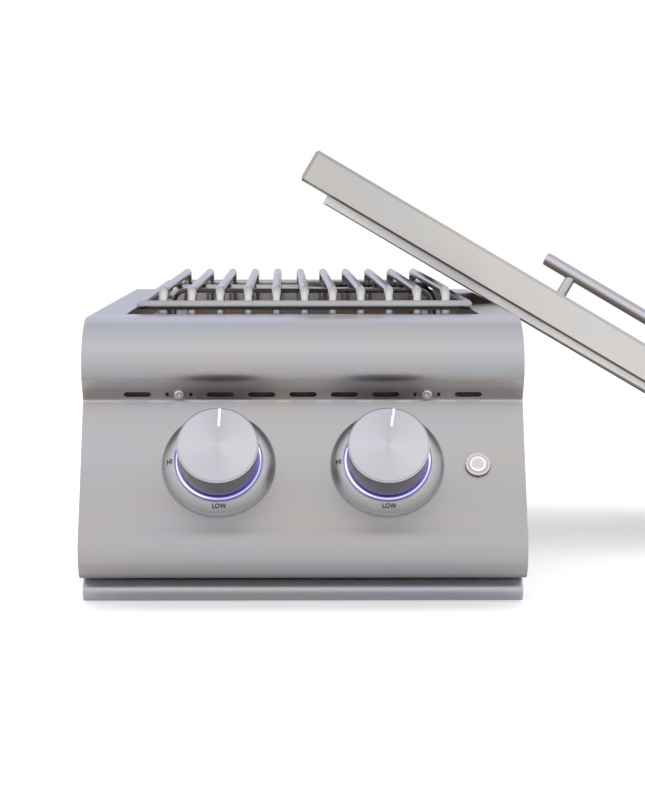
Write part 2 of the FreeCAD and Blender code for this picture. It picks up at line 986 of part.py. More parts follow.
def supply_tube(side, x, burner_y):
    """Bent tube from a valve through the front wall to a burner's orifice."""
    end_y = burner_y - S.mouth_from_burner - S.orifice_behind
    start = on_axis(x, 0, 0, S.tube_start_out)
    bend = on_axis(x, 0, 0, S.tube_start_out - S.tube_lead)
    points = [
        start, bend,
        (x, end_y - S.tube_rise - S.tube_lead, bend[2]),
        (Size(0), end_y - S.tube_lead, S.venturi_z),
        (Size(0), end_y, S.venturi_z),
    ]
    solid(side + "_supply_tube", tube(points, S.tube_bend, S.tube_radius, S.tube_bore))
    return bend[2]


# Knobs, bezels and light rings, all made along the knob axis with the panel face at zero


# How the dome rises as it goes inwards, both as shares
BEZEL_CURVE = (
    (0.02, 0.1), (0.06, 0.2), (0.12, 0.31), (0.2, 0.43), (0.3, 0.55), (0.42, 0.67),
    (0.55, 0.78), (0.7, 0.88), (0.85, 0.96),
)
ring_middle = (S.ring_inner + S.ring_outer) / 2


def bezel(side, x, hole_way):
    """Domed satin ring with a seat for the light ring and a hole for its lead."""
    piece = Sketched(side + "_bezel")
    section = piece.sketch("XZ_Plane")
    rise = S.bezel_rise - S.bezel_edge
    run = S.bezel_radius - S.ring_outer - S.bezel_rim
    polygon(section, [
        (S.bezel_hole, 0), (S.ring_outer + S.bezel_wall, 0),
        (S.ring_outer + S.bezel_wall, S.bezel_rise - S.bezel_wall * 1.6),
        (S.bezel_radius - S.bezel_wall, S.bezel_edge), (S.bezel_radius - S.bezel_wall, 0),
        (S.bezel_radius, 0), (S.bezel_radius, S.bezel_edge),
    ] + [
        (S.bezel_radius - run * inward, S.bezel_edge + rise * up)
        for inward, up in BEZEL_CURVE
    ] + [
        (S.ring_outer + S.bezel_rim, S.bezel_rise), (S.ring_outer, S.bezel_rise),
        (S.ring_outer, S.ring_seat), (S.ring_inner, S.ring_seat),
        (S.ring_inner, S.seat_wall_top), (S.ring_inner - S.seat_wall, S.seat_wall_top),
        (S.ring_inner - S.seat_wall, S.ring_seat), (S.bezel_hole, S.ring_seat),
    ])
    piece.turn(section)
    hole = piece.sketch("XY_Plane", S.ring_seat)
    circle(hole, hole_way * ring_middle, 0, S.lead_radius)
    piece.pocket(hole, S.ring_seat, False)
    tilt(piece.body, x)


def light_ring(side, x):
    ring = Sketched(side + "_light_ring")
    section = ring.sketch("XZ_Plane")
    inner = S.ring_inner + S.ring_play
    outer = S.ring_outer - S.ring_play
    quarter = (outer - inner) / 4
    top = S.ring_seat + S.ring_height
    polygon(section, [
        (inner, S.ring_seat), (outer, S.ring_seat), (outer, top - quarter * 0.9),
        (outer - quarter * 0.35, top - quarter * 0.3), (outer - quarter, top),
        (inner + quarter, top), (inner + quarter * 0.35, top - quarter * 0.3),
        (inner, top - quarter * 0.9),
    ])
    ring.turn(section)
    tilt(ring.body, x)


def touching_arcs(start, start_way, end, end_way):
    """Two arcs that leave and arrive along given directions and meet without a corner."""
    reach = end - start
    ways = start_way + end_way
    square = 2 * start_way.dot(end_way) - 2
    half = reach.dot(ways)
    leg = (half - math.sqrt(half * half - square * reach.dot(reach))) / square
    first, second = start + start_way * leg, end - end_way * leg
    middle = (first + second) * 0.5
    return [arc_under(start, first, middle), arc_under(middle, second, end)]


def arc_under(start, corner, end):
    """The arc from start to end that touches both lines to the corner."""
    chord = (start + end) * 0.5
    inward = corner - chord
    leg = (corner - start).Length
    half_chord = (end - start).Length / 2
    radius = half_chord * leg / inward.Length
    sagitta = radius - math.sqrt(radius * radius - half_chord * half_chord)
    return Part.Arc(start, chord + inward.normalize() * sagitta, end).toShape()


def coil_spring(name, radius, wire, height, turns):
    """A round wire wound along +Z within its full height, its first turn's middle at zero."""
    quarters = max(2, round(turns.number * 4))
    step = math.radians(turns.number * 360) / quarters
    climb = (height - wire).number / quarters
    around = radius.number

    def at(count):
        angle = step * count
        return Vector(around * math.cos(angle), around * math.sin(angle), climb * count)

    def ahead(count):
        angle = step * count
        way = Vector(-around * math.sin(angle), around * math.cos(angle), climb / step)
        return way.normalize()

    edges = []
    for count in range(quarters):
        edges += touching_arcs(at(count), ahead(count), at(count + 1), ahead(count + 1))
    section = Part.Wire([Part.makeCircle((wire / 2).number, at(0), ahead(0))])
    return solid(name, Part.Wire(edges).makePipeShell([section], True, False))


def knob(side, x, turn):
    """Dark hollow knob, its brushed face with a pointer groove, stem, collar and spring."""
    grip = Sketched(side + "_knob")
    section = grip.sketch("XZ_Plane")
    polygon(section, [
        (S.stem_radius, S.knob_back + 2), (S.knob_hub, S.knob_back + 2),
        (S.knob_hub, S.knob_web), (S.knob_base_radius - S.knob_wall, S.knob_web),
        (S.knob_base_radius - S.knob_wall, S.knob_back), (S.knob_base_radius, S.knob_back),
        (S.knob_radius - 0.6, S.face_start), (0, S.face_start), (0, S.stem_out),
        (S.stem_radius, S.stem_out),
    ])
    grip.turn(section)
    tilt(grip.body, x)

    face = Sketched(side + "_knob_face")
    section = face.sketch("XZ_Plane")
    top = S.face_start + S.face_sheet
    polygon(section, [
        (0, S.face_start), (S.knob_radius, S.face_start), (S.knob_radius, top - S.face_chamfer),
        (S.knob_radius - S.face_chamfer, top), (0, top),
    ])
    face.turn(section)
    groove = face.sketch("XY_Plane", top)
    half = S.pointer_width / 2
    corners = []
    for across, along in ((-1, 0), (1, 0), (1, 1), (-1, 1)):
        reach = S.knob_radius + 1 - (S.pointer_length + 1) * along
        corners.append((
            half * across * cosine(turn) - reach * sine(turn),
            half * across * sine(turn) + reach * cosine(turn),
        ))
    polygon(groove, corners)
    face.pocket(groove, S.pointer_depth, False)
    tilt(face.body, x)

    stem = Sketched(side + "_stem")
    section = stem.sketch("XZ_Plane")
    rectangle(section, (0, -S.stem_in), (S.stem_radius, S.stem_out))
    stem.turn(section)
    tilt(stem.body, x)

    collar_top = -S.cavity_top - S.collar_gap
    collar = Sketched(side + "_push_collar")
    section = collar.sketch("XZ_Plane")
    rectangle(section, (S.stem_radius + S.stem_play, collar_top - S.collar_height),
              (S.collar_radius, collar_top))
    collar.turn(section)
    tilt(collar.body, x)

    spring_height = (S.cavity_bottom - S.cavity_top - S.collar_gap - S.collar_height
                     - S.push_travel - S.spring_clear)
    spring = coil_spring(side + "_return_spring", S.spring_radius, S.spring_wire,
                         spring_height, S.spring_turns)
    tilt(spring, x, 0, S.spring_wire / 2 - S.cavity_bottom)


SIDES = (
    ("left", -S.knob_x, S.front_burner_y, 1, S.left_knob_turn),
    ("right", S.knob_x, S.rear_burner_y, -1, S.right_knob_turn),
)
for side, x, burner_y, hole_way, turn in SIDES:
    valve(side, x)
    tube_z = supply_tube(side, x, burner_y)
    bezel(side, x, hole_way)
    light_ring(side, x)
    knob(side, x, turn)
derived(supply_tube_z=tube_z)

# Light switch: threaded housing, nut, lit ring, button and its spring

switch_outside = gather(
    rod((0, 0, 0), "z", S.switch_flange_height, S.switch_flange),
    rod((0, 0, -S.switch_depth), "z", S.switch_depth, S.switch_barrel),
    block((-S.terminal_half * 2, -S.terminal_half, -S.switch_depth - S.terminal_length),
          (S.terminal_half * 2, S.terminal_half, -S.switch_depth)),
)
ring_pocket = cut(
    rod((0, 0, S.light_seat), "z", S.switch_flange_height, S.light_outer),
    rod((0, 0, S.light_seat), "z", S.switch_flange_height, S.light_inner),
)
button_room = rod((0, 0, -S.switch_well), "z", S.switch_well + S.switch_flange_height,
                  S.button_radius + S.button_play)
node("switch_housing",
     tilt(cut(switch_outside, ring_pocket, button_room), S.switch_from_centre))
node("switch_light_ring", tilt(cut(
    rod((0, 0, S.light_seat), "z", S.light_top - S.light_seat, S.light_outer),
    rod((0, 0, S.light_seat), "z", S.light_top - S.light_seat, S.light_inner),
), S.switch_from_centre))
node("switch_nut", tilt(cut(
    rod((0, 0, -S.panel_sheet - S.switch_nut_height), "z", S.switch_nut_height,
        S.switch_nut_radius),
    rod((0, 0, -S.panel_sheet - S.switch_nut_height), "z", S.switch_nut_height,
        S.switch_barrel),
), S.switch_from_centre))
button = Sketched("switch_button")
section = button.sketch("XZ_Plane")
polygon(section, [
    (0, -S.button_bottom), (S.button_radius, -S.button_bottom),
    (S.button_radius, S.button_top - 0.6), (S.button_radius - 0.6, S.button_top),
    (0, S.button_top - 0.2),
])
button.turn(section)
tilt(button.body, S.switch_from_centre)
spring = coil_spring(
    "switch_spring", S.switch_spring_radius, S.switch_spring_wire,
    S.switch_well - S.button_bottom - S.button_travel - S.collar_gap, S.switch_spring_turns)
tilt(spring, S.switch_from_centre, 0, S.switch_spring_wire / 2 - S.switch_well)

# Light driver, power inlet and leads

driver_front = S.box_front - S.driver_depth
node("light_driver", block((-S.driver_half, driver_front, -S.driver_bottom),
                           (S.driver_half, S.box_front, -S.driver_top)))
jack_y = S.box_rear_inside - S.jack_inside
jack_barrel = gather(
    rod((-S.jack_x, jack_y, -S.jack_z), "y", S.jack_inside + S.box_sheet + S.jack_outside,
        S.jack_radius),
    rod((-S.jack_x, S.box_back, -S.jack_z), "y", S.jack_flange_sheet, S.jack_flange),
)
jack_hole = rod((-S.jack_x, S.box_rear_inside, -S.jack_z), "y",
                S.box_sheet + S.jack_outside, S.jack_bore)
node("power_inlet", cut(jack_barrel, jack_hole))


def lead(points):
    return solid(None, tube(points, S.lead_bend, S.lead_radius))


middle_z = -(S.driver_top + S.driver_bottom) / 2
lead_y = S.box_front - S.driver_depth / 2
ring_leads = []
for side, x, burner_y, hole_way, turn in SIDES:
    hole_x = x + hole_way * ring_middle
    ring_leads.append(lead([
        on_axis(hole_x, 0, 0, S.ring_seat),
        on_axis(hole_x, 0, 0, -S.lead_in_panel),
        (-hole_way * S.driver_lead_x, driver_front - S.lead_to_driver, middle_z),
        (-hole_way * S.driver_lead_x, driver_front, middle_z),
    ]))
switch_end = -(S.switch_depth + S.terminal_length)
switch_lead = lead([
    on_axis(S.switch_from_centre, 0, 0, switch_end),
    on_axis(S.switch_from_centre, 0, 0, switch_end - 12),
    (S.driver_half * 3, lead_y, middle_z - 12),
    (S.driver_half * 1.6, lead_y, middle_z - 5),
    (S.driver_half, lead_y, middle_z - 5),
])
power_lead = lead([
    (-S.driver_half, lead_y, -S.jack_z),
    (-S.jack_x, lead_y, -S.jack_z),
    (-S.jack_x, jack_y, -S.jack_z),
])
node("light_leads", group(*ring_leads, switch_lead, power_lead))

spark_leads = []
for (side, x, burner_y, hole_way, turn), (name, y, way) in zip(SIDES, BURNERS):
    end_x = way * S.igniter_from_burner
    spark_leads.append(lead([
        on_axis(x, 0, S.valve_half, -S.valve_front - S.valve_half),
        on_axis(x, 0, S.valve_half * 2, -S.valve_front - S.valve_half),
        (x, S.box_front - 14, -S.lead_z),
        (end_x, y - 24, -S.lead_z),
        (end_x, y, S.igniter_bottom - 20),
        (end_x, y, S.igniter_bottom),
    ]))
node("spark_leads", group(*spark_leads))

# Outer box: a bent sheet tub open at the top, with the slot for the drip tray

derived(
    tray_half=S.box_half - S.tray_from_box_side,
    tray_back=S.box_back - S.tray_from_box_back,
    tray_top=-S.tray_top_depth,
    tray_bottom=-S.tray_bottom_depth,
    strip_z=S.ground_z + S.strip_height_above_ground + S.strip_radius,
    strip_back=S.crease_y + S.strip_ahead * 0.3,
)
box_outside = gather(
    block((-S.box_half, S.box_front, S.ground_z), (S.box_half, S.box_back, S.pan_top)),
    block((-S.box_half - S.box_flange, S.box_front, S.pan_top - S.box_sheet),
          (S.box_half + S.box_flange, S.box_back, S.pan_top)),
)
box_inside = block(
    (-S.box_inner_half, S.box_front + S.box_sheet, S.ground_z + S.box_sheet),
    (S.box_inner_half, S.box_rear_inside, S.pan_top + 1))
slot_half = S.tray_half + S.tray_slot_play
box_holes = [
    block((-slot_half, S.box_front, S.ground_z + S.box_sheet),
          (slot_half, S.box_front + S.box_sheet, S.tray_top + S.tray_slot_play)),
    rod((S.pipe_x, S.box_front, S.manifold_z), "y", S.box_sheet, S.pipe_radius + S.hole_play),
    rod((S.pipe_x, S.box_rear_inside, S.manifold_z), "y", S.box_sheet, S.inlet_neck),
    rod((-S.jack_x, S.box_front, -S.jack_z), "y", S.box_sheet, S.lead_radius + S.hole_play),
    rod((-S.jack_x, S.box_rear_inside, -S.jack_z), "y", S.box_sheet, S.jack_radius),
]
for way in (-1, 1):
    box_holes.append(rod((way * S.knob_x, S.box_front, S.supply_tube_z), "y", S.box_sheet,
                         S.tube_radius + S.hole_play))
    box_holes.append(rod((way * S.knob_x, S.box_front, -S.lead_z), "y", S.box_sheet,
                         S.lead_radius + S.hole_play * 2))
    for number in range(int(S.vent_count.number)):
        along = (number - (S.vent_count.number - 1) / 2) * S.vent_pitch
        low = (-S.box_half, along - S.vent_length / 2, -S.vent_z - S.vent_width)
        high = (-S.box_inner_half, along + S.vent_length / 2, -S.vent_z)
        if way > 0:
            low = (S.box_inner_half,) + low[1:]
            high = (S.box_half,) + high[1:]
        box_holes.append(block(low, high))
node("outer_box", cut(box_outside, box_inside, *box_holes))

# Drip tray, its rolled front and the rails that carry it

node("drip_tray", cut(
    block((-S.tray_half, S.strip_back, S.tray_bottom), (S.tray_half, S.tray_back, S.tray_top)),
    block((-S.tray_half + S.tray_sheet, S.strip_back + S.tray_sheet,
           S.tray_bottom + S.tray_sheet),
          (S.tray_half - S.tray_sheet, S.tray_back - S.tray_sheet, S.tray_top + 1)),
))
rails = []
for way in (-1, 1):
    wall = way * S.box_inner_half
    sides = {
        -1: ((wall, wall + S.rail_sheet), (wall, wall + S.rail_foot)),
        1: ((wall - S.rail_sheet, wall), (wall - S.rail_foot, wall)),
    }[way]
    low_z = S.ground_z + S.box_sheet
    rails.append(gather(
        block((sides[0][0], S.box_front + S.box_sheet, low_z),
              (sides[0][1], S.tray_back + S.fit_gap, low_z + S.rail_height)),
        block((sides[1][0], S.box_front + S.box_sheet, low_z),
              (sides[1][1], S.tray_back + S.fit_gap, low_z + S.rail_sheet)),
    ))
node("tray_rails", group(*rails))

strip_pen = Pen(S.strip_back, S.strip_z + S.strip_radius)
strip_pen.straight(S.strip_back - S.crease_y + S.strip_ahead)
strip_pen.arc(S.strip_radius, Size(180))
strip_pen.straight(S.strip_back - S.crease_y + S.strip_ahead)


def inset_face(edges, distance):
    """The face between an open profile and the same profile moved to its inside."""
    outer = Part.Wire(edges)
    inner = outer.makeOffset2D(distance, join=2, openResult=True)
    return outer, inner


def band_face(outer, inner):
    first, last = outer.OrderedVertexes[0].Point, outer.OrderedVertexes[-1].Point
    ends = [inner.OrderedVertexes[0].Point, inner.OrderedVertexes[-1].Point]
    if ends[0].distanceToPoint(first) > ends[1].distanceToPoint(first):
        ends.reverse()
    edges = outer.Edges + inner.Edges
    edges.append(Part.LineSegment(first, ends[0]).toShape())
    edges.append(Part.LineSegment(last, ends[1]).toShape())
    return Part.Face(Part.Wire(Part.__sortEdges__(edges)))


def closed_face(wire):
    points = [wire.OrderedVertexes[-1].Point, wire.OrderedVertexes[0].Point]
    edges = wire.Edges + [Part.LineSegment(*points).toShape()]
    return Part.Face(Part.Wire(Part.__sortEdges__(edges)))


def across(face, low, high):
    """A profile pulled out along X between two places."""
    shape = face.extrude(Vector(as_size(high).number - as_size(low).number, 0, 0))
    shape.translate(Vector(as_size(low).number, 0, 0))
    return shape


strip_outer, strip_inner = inset_face(strip_pen.pieces, -S.strip_sheet.number)
strip_shape = across(band_face(strip_outer, strip_inner), -S.half_width, S.half_width)
strip_ends = [
    across(closed_face(strip_inner), -S.half_width, -S.half_width + S.strip_sheet),
    across(closed_face(strip_inner), S.half_width - S.strip_sheet, S.half_width),
]
solid("tray_front", strip_shape.fuse(strip_ends).removeSplitter())

# Front panel with its slots and holes, end plates, and the screws behind the slots

derived(underside_angle=90 - S.underside_turn)
profile_outer, profile_inner = inset_face(outer_profile, -S.panel_sheet.number)
panel = across(band_face(profile_outer, profile_inner), -S.half_width, S.half_width)
tongue_half = S.half_width - S.hem_width - S.fit_gap
tongue = Part.makeBox(
    (tongue_half * 2).number, (S.tongue_reach + S.tongue_lap).number, S.deck_sheet.number,
    Vector(-tongue_half.number, (S.deck_front - S.tongue_lap).number, 0))
panel = panel.fuse(tongue)


def underside_point(up, out):
    """A point on the nose's underside, at a distance up from the crease and out of the sheet."""
    return (
        S.crease_y - up * cosine(S.underside_angle) - out * sine(S.underside_angle),
        S.crease_z + up * sine(S.underside_angle) - out * cosine(S.underside_angle),
    )


def underside_frame(x, up):
    y, z = underside_point(as_size(up), Size(0))
    turned = Rotation(Vector(1, 0, 0), 180 - S.underside_angle.number)
    return FreeCAD.Placement(Vector(as_size(x).number, y.number, z.number), turned)


def upright(radius, low, high, x=0):
    return Part.makeCylinder(as_size(radius).number, as_size(high - low).number,
                             Vector(as_size(x).number, 0, as_size(low).number))


def moved(shape, frame):
    shape.Placement = frame
    return shape


slot_half_width = S.slot_width / 2
round_at = S.slot_length / 2 - slot_half_width
deep = S.panel_sheet * 2
slots = []
for number in range(int(S.slot_count.number)):
    x = (number - (S.slot_count.number - 1) / 2) * S.slot_pitch
    slot = Part.makeBox((round_at * 2).number, S.slot_width.number, (deep * 2).number,
                        Vector(-round_at.number, -slot_half_width.number, -deep.number))
    slot = slot.fuse([upright(slot_half_width, -deep, deep, way * round_at) for way in (-1, 1)])
    slots.append(moved(slot, underside_frame(x, S.slot_up)))


def knob_frame(x):
    turned = Rotation(Vector(1, 0, 0), S.axis_turn.number)
    return FreeCAD.Placement(Vector(x.number, S.knob_y.number, S.knob_z.number), turned)


panel_holes = [moved(upright(S.switch_barrel, -deep, deep), knob_frame(S.switch_from_centre))]
for side, x, burner_y, hole_way, turn in SIDES:
    panel_holes.append(moved(upright(S.panel_stem_hole, -deep, deep), knob_frame(x)))
    lead_hole = upright(S.lead_radius, -deep, deep, hole_way * ring_middle)
    panel_holes.append(moved(lead_hole, knob_frame(x)))
solid("front_panel", panel.cut(slots + panel_holes))
end_shape = closed_face(profile_inner).extrude(Vector(S.panel_sheet.number, 0, 0))
solid("left_end_plate", end_shape, -S.half_width)
solid("right_end_plate", end_shape, S.half_width - S.panel_sheet)

panel_screws, panel_tabs = [], []
screw_slot = (S.slot_count - 1) / 2 - 1
for way in (-1, 1):
    x = way * screw_slot * S.slot_pitch
    frame = underside_frame(x, S.panel_screw_up)
    head = upright(S.panel_screw_head, Size(0), S.panel_screw_height)
    rim = [edge for edge in head.Edges if edge.BoundBox.ZMin > S.panel_screw_height.number - 0.01]
    head = head.makeFillet(S.panel_screw_height.number * 0.45, rim[:1])
    head = head.cut(upright(S.panel_screw_recess,
                            S.panel_screw_height - S.panel_screw_recess_depth,
                            S.panel_screw_height))
    shank = upright(S.panel_screw_radius, -S.panel_screw_length, Size(0))
    panel_screws.append(moved(head.fuse(shank), frame))
    tab = Part.makeBox(
        (S.tab_half * 2).number, (S.tab_high - S.tab_low).number, S.tab_sheet.number,
        Vector(-S.tab_half.number, (S.tab_low - S.panel_screw_up).number,
               -(S.panel_sheet + S.tab_sheet).number))
    tab = tab.cut(upright(S.panel_screw_radius, -S.panel_screw_length, Size(0)))
    tab = moved(tab, frame)
    end_y, end_z = underside_point(S.tab_high, -S.panel_sheet - S.tab_sheet)
    arm = Part.makeBox((S.tab_half * 2).number, (S.box_front - end_y).number,
                       S.tab_sheet.number,
                       Vector((x - S.tab_half).number, end_y.number, end_z.number - S.tab_sheet.number))
    foot = Part.makeBox((S.tab_half * 2).number, S.tab_sheet.number, S.tab_high.number,
                        Vector((x - S.tab_half).number, (S.box_front - S.tab_sheet).number,
                               end_z.number))
    panel_tabs.append(tab.fuse([arm, foot]).removeSplitter())
solid("panel_screws", Part.Compound(panel_screws))
solid("panel_tabs", Part.Compound(panel_tabs))

# Grate: parallel rods bent down at both ends, a ring rail round them and a rod across

derived(
    bar_z=S.deck_top + S.bar_top_above_deck - S.rod_radius,
    rail_z=S.deck_top + S.ring_above_deck,
    leg_front=S.opening_front + S.leg_from_front,
    leg_back=S.opening_back - S.leg_from_back,
    leg_bottom=S.ledge_top + S.fit_gap,
    ring_half=S.opening_half - S.ring_from_side,
)
derived(
    bar_pitch=(S.ring_half - S.end_bar_from_ring) * 2 / (S.bar_count - 1),
    cross_half=S.ring_half - S.cross_from_ring,
)
grate_middle = (S.leg_front + S.leg_back) / 2


def askew(thing):
    """Turns a piece of the grate about the grate's middle, as it lies in the deck."""
    turned = Rotation(Vector(0, 0, 1), S.grate_turn.number)
    thing.Placement = FreeCAD.Placement(Vector(), turned)
    thing.setExpression("Placement.Rotation.Angle", S.grate_turn.formula)
    across_by = grate_middle * sine(S.grate_turn)
    return place(thing, across_by, grate_middle * (1 - cosine(S.grate_turn)))


bars = []
for number in range(int(S.bar_count.number)):
    x = (number - (S.bar_count - 1) / 2) * S.bar_pitch
    bars.append(tube([
        (x, S.leg_front, S.leg_bottom), (x, S.leg_front, S.bar_z),
        (x, S.leg_back, S.bar_z), (x, S.leg_back, S.leg_bottom),
    ], S.bar_bend, S.rod_radius))
askew(solid("grate_bars", Part.Compound(bars)))

rail_front = S.leg_front - S.rod_radius * 2 - S.weld_gap
rail_back = S.leg_back + S.rod_radius * 2 + S.weld_gap
ring_corners = [
    (-S.ring_half, rail_front), (S.ring_half, rail_front),
    (S.ring_half, rail_back), (-S.ring_half, rail_back),
]
ring_path = tube_path(
    [(0, rail_front, S.rail_z)]
    + [(x, y, S.rail_z) for x, y in ring_corners[1:] + ring_corners[:1]]
    + [(0, rail_front, S.rail_z)], S.ring_corner.number)
ring_section = Part.Wire([Part.makeCircle(
    S.rod_radius.number, Vector(0, rail_front.number, S.rail_z.number), Vector(1, 0, 0))])
askew(solid("grate_ring", ring_path.makePipeShell([ring_section], True, False)))
cross_z = S.bar_z - S.rod_radius * 2 - S.weld_gap
askew(solid("grate_cross_rod", tube([
    (-S.cross_half, grate_middle, S.leg_bottom), (-S.cross_half, grate_middle, cross_z),
    (S.cross_half, grate_middle, cross_z), (S.cross_half, grate_middle, S.leg_bottom),
], S.cross_bend, S.rod_radius)))

# Lid, made flat with its top at zero and its upper end at x = 0, then leant on the deck

derived(
    lid_length=S.deck_depth - S.lid_end_setback * 2,
    lid_width=S.deck_width - S.lid_side_setback * 2,
    liner_length=S.opening_length - S.liner_end_gap * 2,
    liner_width=S.opening_width - S.liner_side_gap * 2,
)
derived(
    lid_contact=S.lid_length - (
        S.deck_top - S.ground_z - S.fit_gap
        + (S.liner_rim + S.fit_gap) * cosine(S.lid_lean)) / sine(S.lid_lean),
    lid_rest_depth=S.lid_skirt + S.liner_rim + S.fit_gap,
    lid_y=-S.lid_near + S.lid_width / 2,
)
derived(
    lid_x=S.half_width - S.lid_contact * cosine(S.lid_lean)
    + S.lid_rest_depth * sine(S.lid_lean),
    lid_z=S.deck_top + S.lid_contact * sine(S.lid_lean)
    + S.lid_rest_depth * cosine(S.lid_lean),
    lid_half=S.lid_width / 2,
    lid_middle=S.lid_length / 2,
)


def on_lid(thing, along=0, up=0, extra=0):
    """Leans a thing with the lid, at a distance along it and above its top."""
    along, up = as_size(along), as_size(up)
    angle = S.lid_lean + extra
    thing.Placement = FreeCAD.Placement(Vector(), Rotation(Vector(0, 1, 0), angle.number))
    thing.setExpression("Placement.Rotation.Angle", angle.formula)
    x = S.lid_x + along * cosine(S.lid_lean) + up * sine(S.lid_lean)
    z = S.lid_z - along * sine(S.lid_lean) + up * cosine(S.lid_lean)
    return place(thing, x, S.lid_y, z)


def rounded(base, radius, chosen):
    """Rounds the edges of a block that a test picks by their bounds."""
    doc.recompute()
    thing = doc.addObject("Part::Fillet", "Rounded")
    thing.Base = base
    picked = [number + 1 for number, edge in enumerate(base.Shape.Edges) if chosen(edge.BoundBox)]
    thing.Edges = [(number, as_size(radius).number, as_size(radius).number) for number in picked]
    return thing


def upper_or_upright(bounds):
    return bounds.ZMax > -0.01


lid_block = rounded(
    block((0, -S.lid_half, -S.lid_skirt), (S.lid_length, S.lid_half, 0)),
    S.lid_edge, upper_or_upright)
lid_hollow = block(
    (S.lid_sheet, S.lid_sheet - S.lid_half, -S.lid_skirt - 1),
    (S.lid_length - S.lid_sheet, S.lid_half - S.lid_sheet, -S.lid_sheet))
lid_hollow = rounded(lid_hollow, S.lid_edge - S.lid_sheet,
                     lambda bounds: bounds.ZMax > -S.lid_sheet.number - 0.01)
POSTS = [S.lid_middle + way * S.post_spacing / 2 for way in (-1, 1)]
screw_holes = [rod((x, 0, -S.lid_sheet), "z", S.lid_sheet, S.handle_screw_radius) for x in POSTS]
node("lid_shell", on_lid(cut(lid_block, lid_hollow, *screw_holes)))

inset = S.lid_sheet + S.liner_play
flange_low = -S.lid_skirt + S.liner_recess
liner_flange = rounded(
    block((inset, inset - S.lid_half, flange_low),
          (S.lid_length - inset, S.lid_half - inset, flange_low + S.liner_sheet)),
    S.lid_edge - inset, lambda bounds: bounds.ZLength > S.liner_sheet.number / 2)
rim_start = (S.lid_length - S.liner_length) / 2
rim_half = S.liner_width / 2
rim_low = -S.lid_skirt - S.liner_rim
liner_top = -S.lid_sheet - S.handle_head_height - S.fit_gap
liner_tub = block((rim_start, -rim_half, rim_low),
                  (rim_start + S.liner_length, rim_half, liner_top))
liner_room = block(
    (rim_start + S.liner_sheet, S.liner_sheet - rim_half, rim_low - 1),
    (rim_start + S.liner_length - S.liner_sheet, rim_half - S.liner_sheet,
     liner_top - S.liner_sheet))
node("lid_liner", on_lid(cut(gather(liner_flange, liner_tub), liner_room)))

bar = Sketched("handle_bar")
section = bar.sketch("XZ_Plane")
half_bar = S.bar_length / 2
polygon(section, [
    (0, -half_bar), (S.bar_radius - S.bar_end, -half_bar),
    (S.bar_radius - S.bar_end * 0.3, S.bar_end * 0.3 - half_bar),
    (S.bar_radius, S.bar_end - half_bar),
    (S.bar_radius, half_bar - S.bar_end),
    (S.bar_radius - S.bar_end * 0.3, half_bar - S.bar_end * 0.3),
    (S.bar_radius - S.bar_end, half_bar), (0, half_bar),
])
bar.turn(section)
on_lid(bar.body, S.lid_middle, S.bar_height, Size(90))
posts = gather(*[rod((x, 0, 0), "z", S.bar_height, S.post_radius) for x in POSTS])
post_screw_holes = [
    rod((x, 0, 0), "z", S.handle_screw_reach, S.handle_screw_radius) for x in POSTS]
bar_space = rod((S.lid_middle - half_bar, 0, S.bar_height), "x", S.bar_length, S.bar_radius)
node("handle_posts", on_lid(cut(posts, bar_space, *post_screw_holes)))
handle_screws = []
for x in POSTS:
    handle_screws.append(gather(
        rod((x, 0, -S.lid_sheet), "z", S.lid_sheet + S.handle_screw_reach,
            S.handle_screw_radius),
        rod((x, 0, -S.lid_sheet - S.handle_head_height), "z", S.handle_head_height,
            S.handle_head)))
node("handle_screws", on_lid(group(*handle_screws)))


def write_parts():
    """Builds everything, checks it and writes one file for each node."""
    doc.recompute()
    for thing in doc.Objects:
        if "Invalid" in thing.State or "Error" in thing.State:
            raise RuntimeError("failed: " + thing.Name + " " + thing.Label)
    os.makedirs("parts", exist_ok=True)
    for thing in nodes:
        shape = thing.Shape
        if shape.isNull() or not shape.isValid() or not shape.Solids:
            raise RuntimeError("bad shape: " + thing.Label)
    for thing in nodes:
        thing.Shape.exportStep("parts/" + thing.Label + ".step")
        print(thing.Label, len(thing.Shape.Solids), round(thing.Shape.Volume, 1))


write_parts()
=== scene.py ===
"""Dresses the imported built-in side burner: finishes, lettering, lights and the camera.

Metres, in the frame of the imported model: +X to the cook's right, +Y to the back, +Z up.
"""

import json
import math

import bmesh
import bpy
from bpy.props import FloatProperty, FloatVectorProperty, PointerProperty
from mathutils import Matrix, Vector
from mathutils.bvhtree import BVHTree

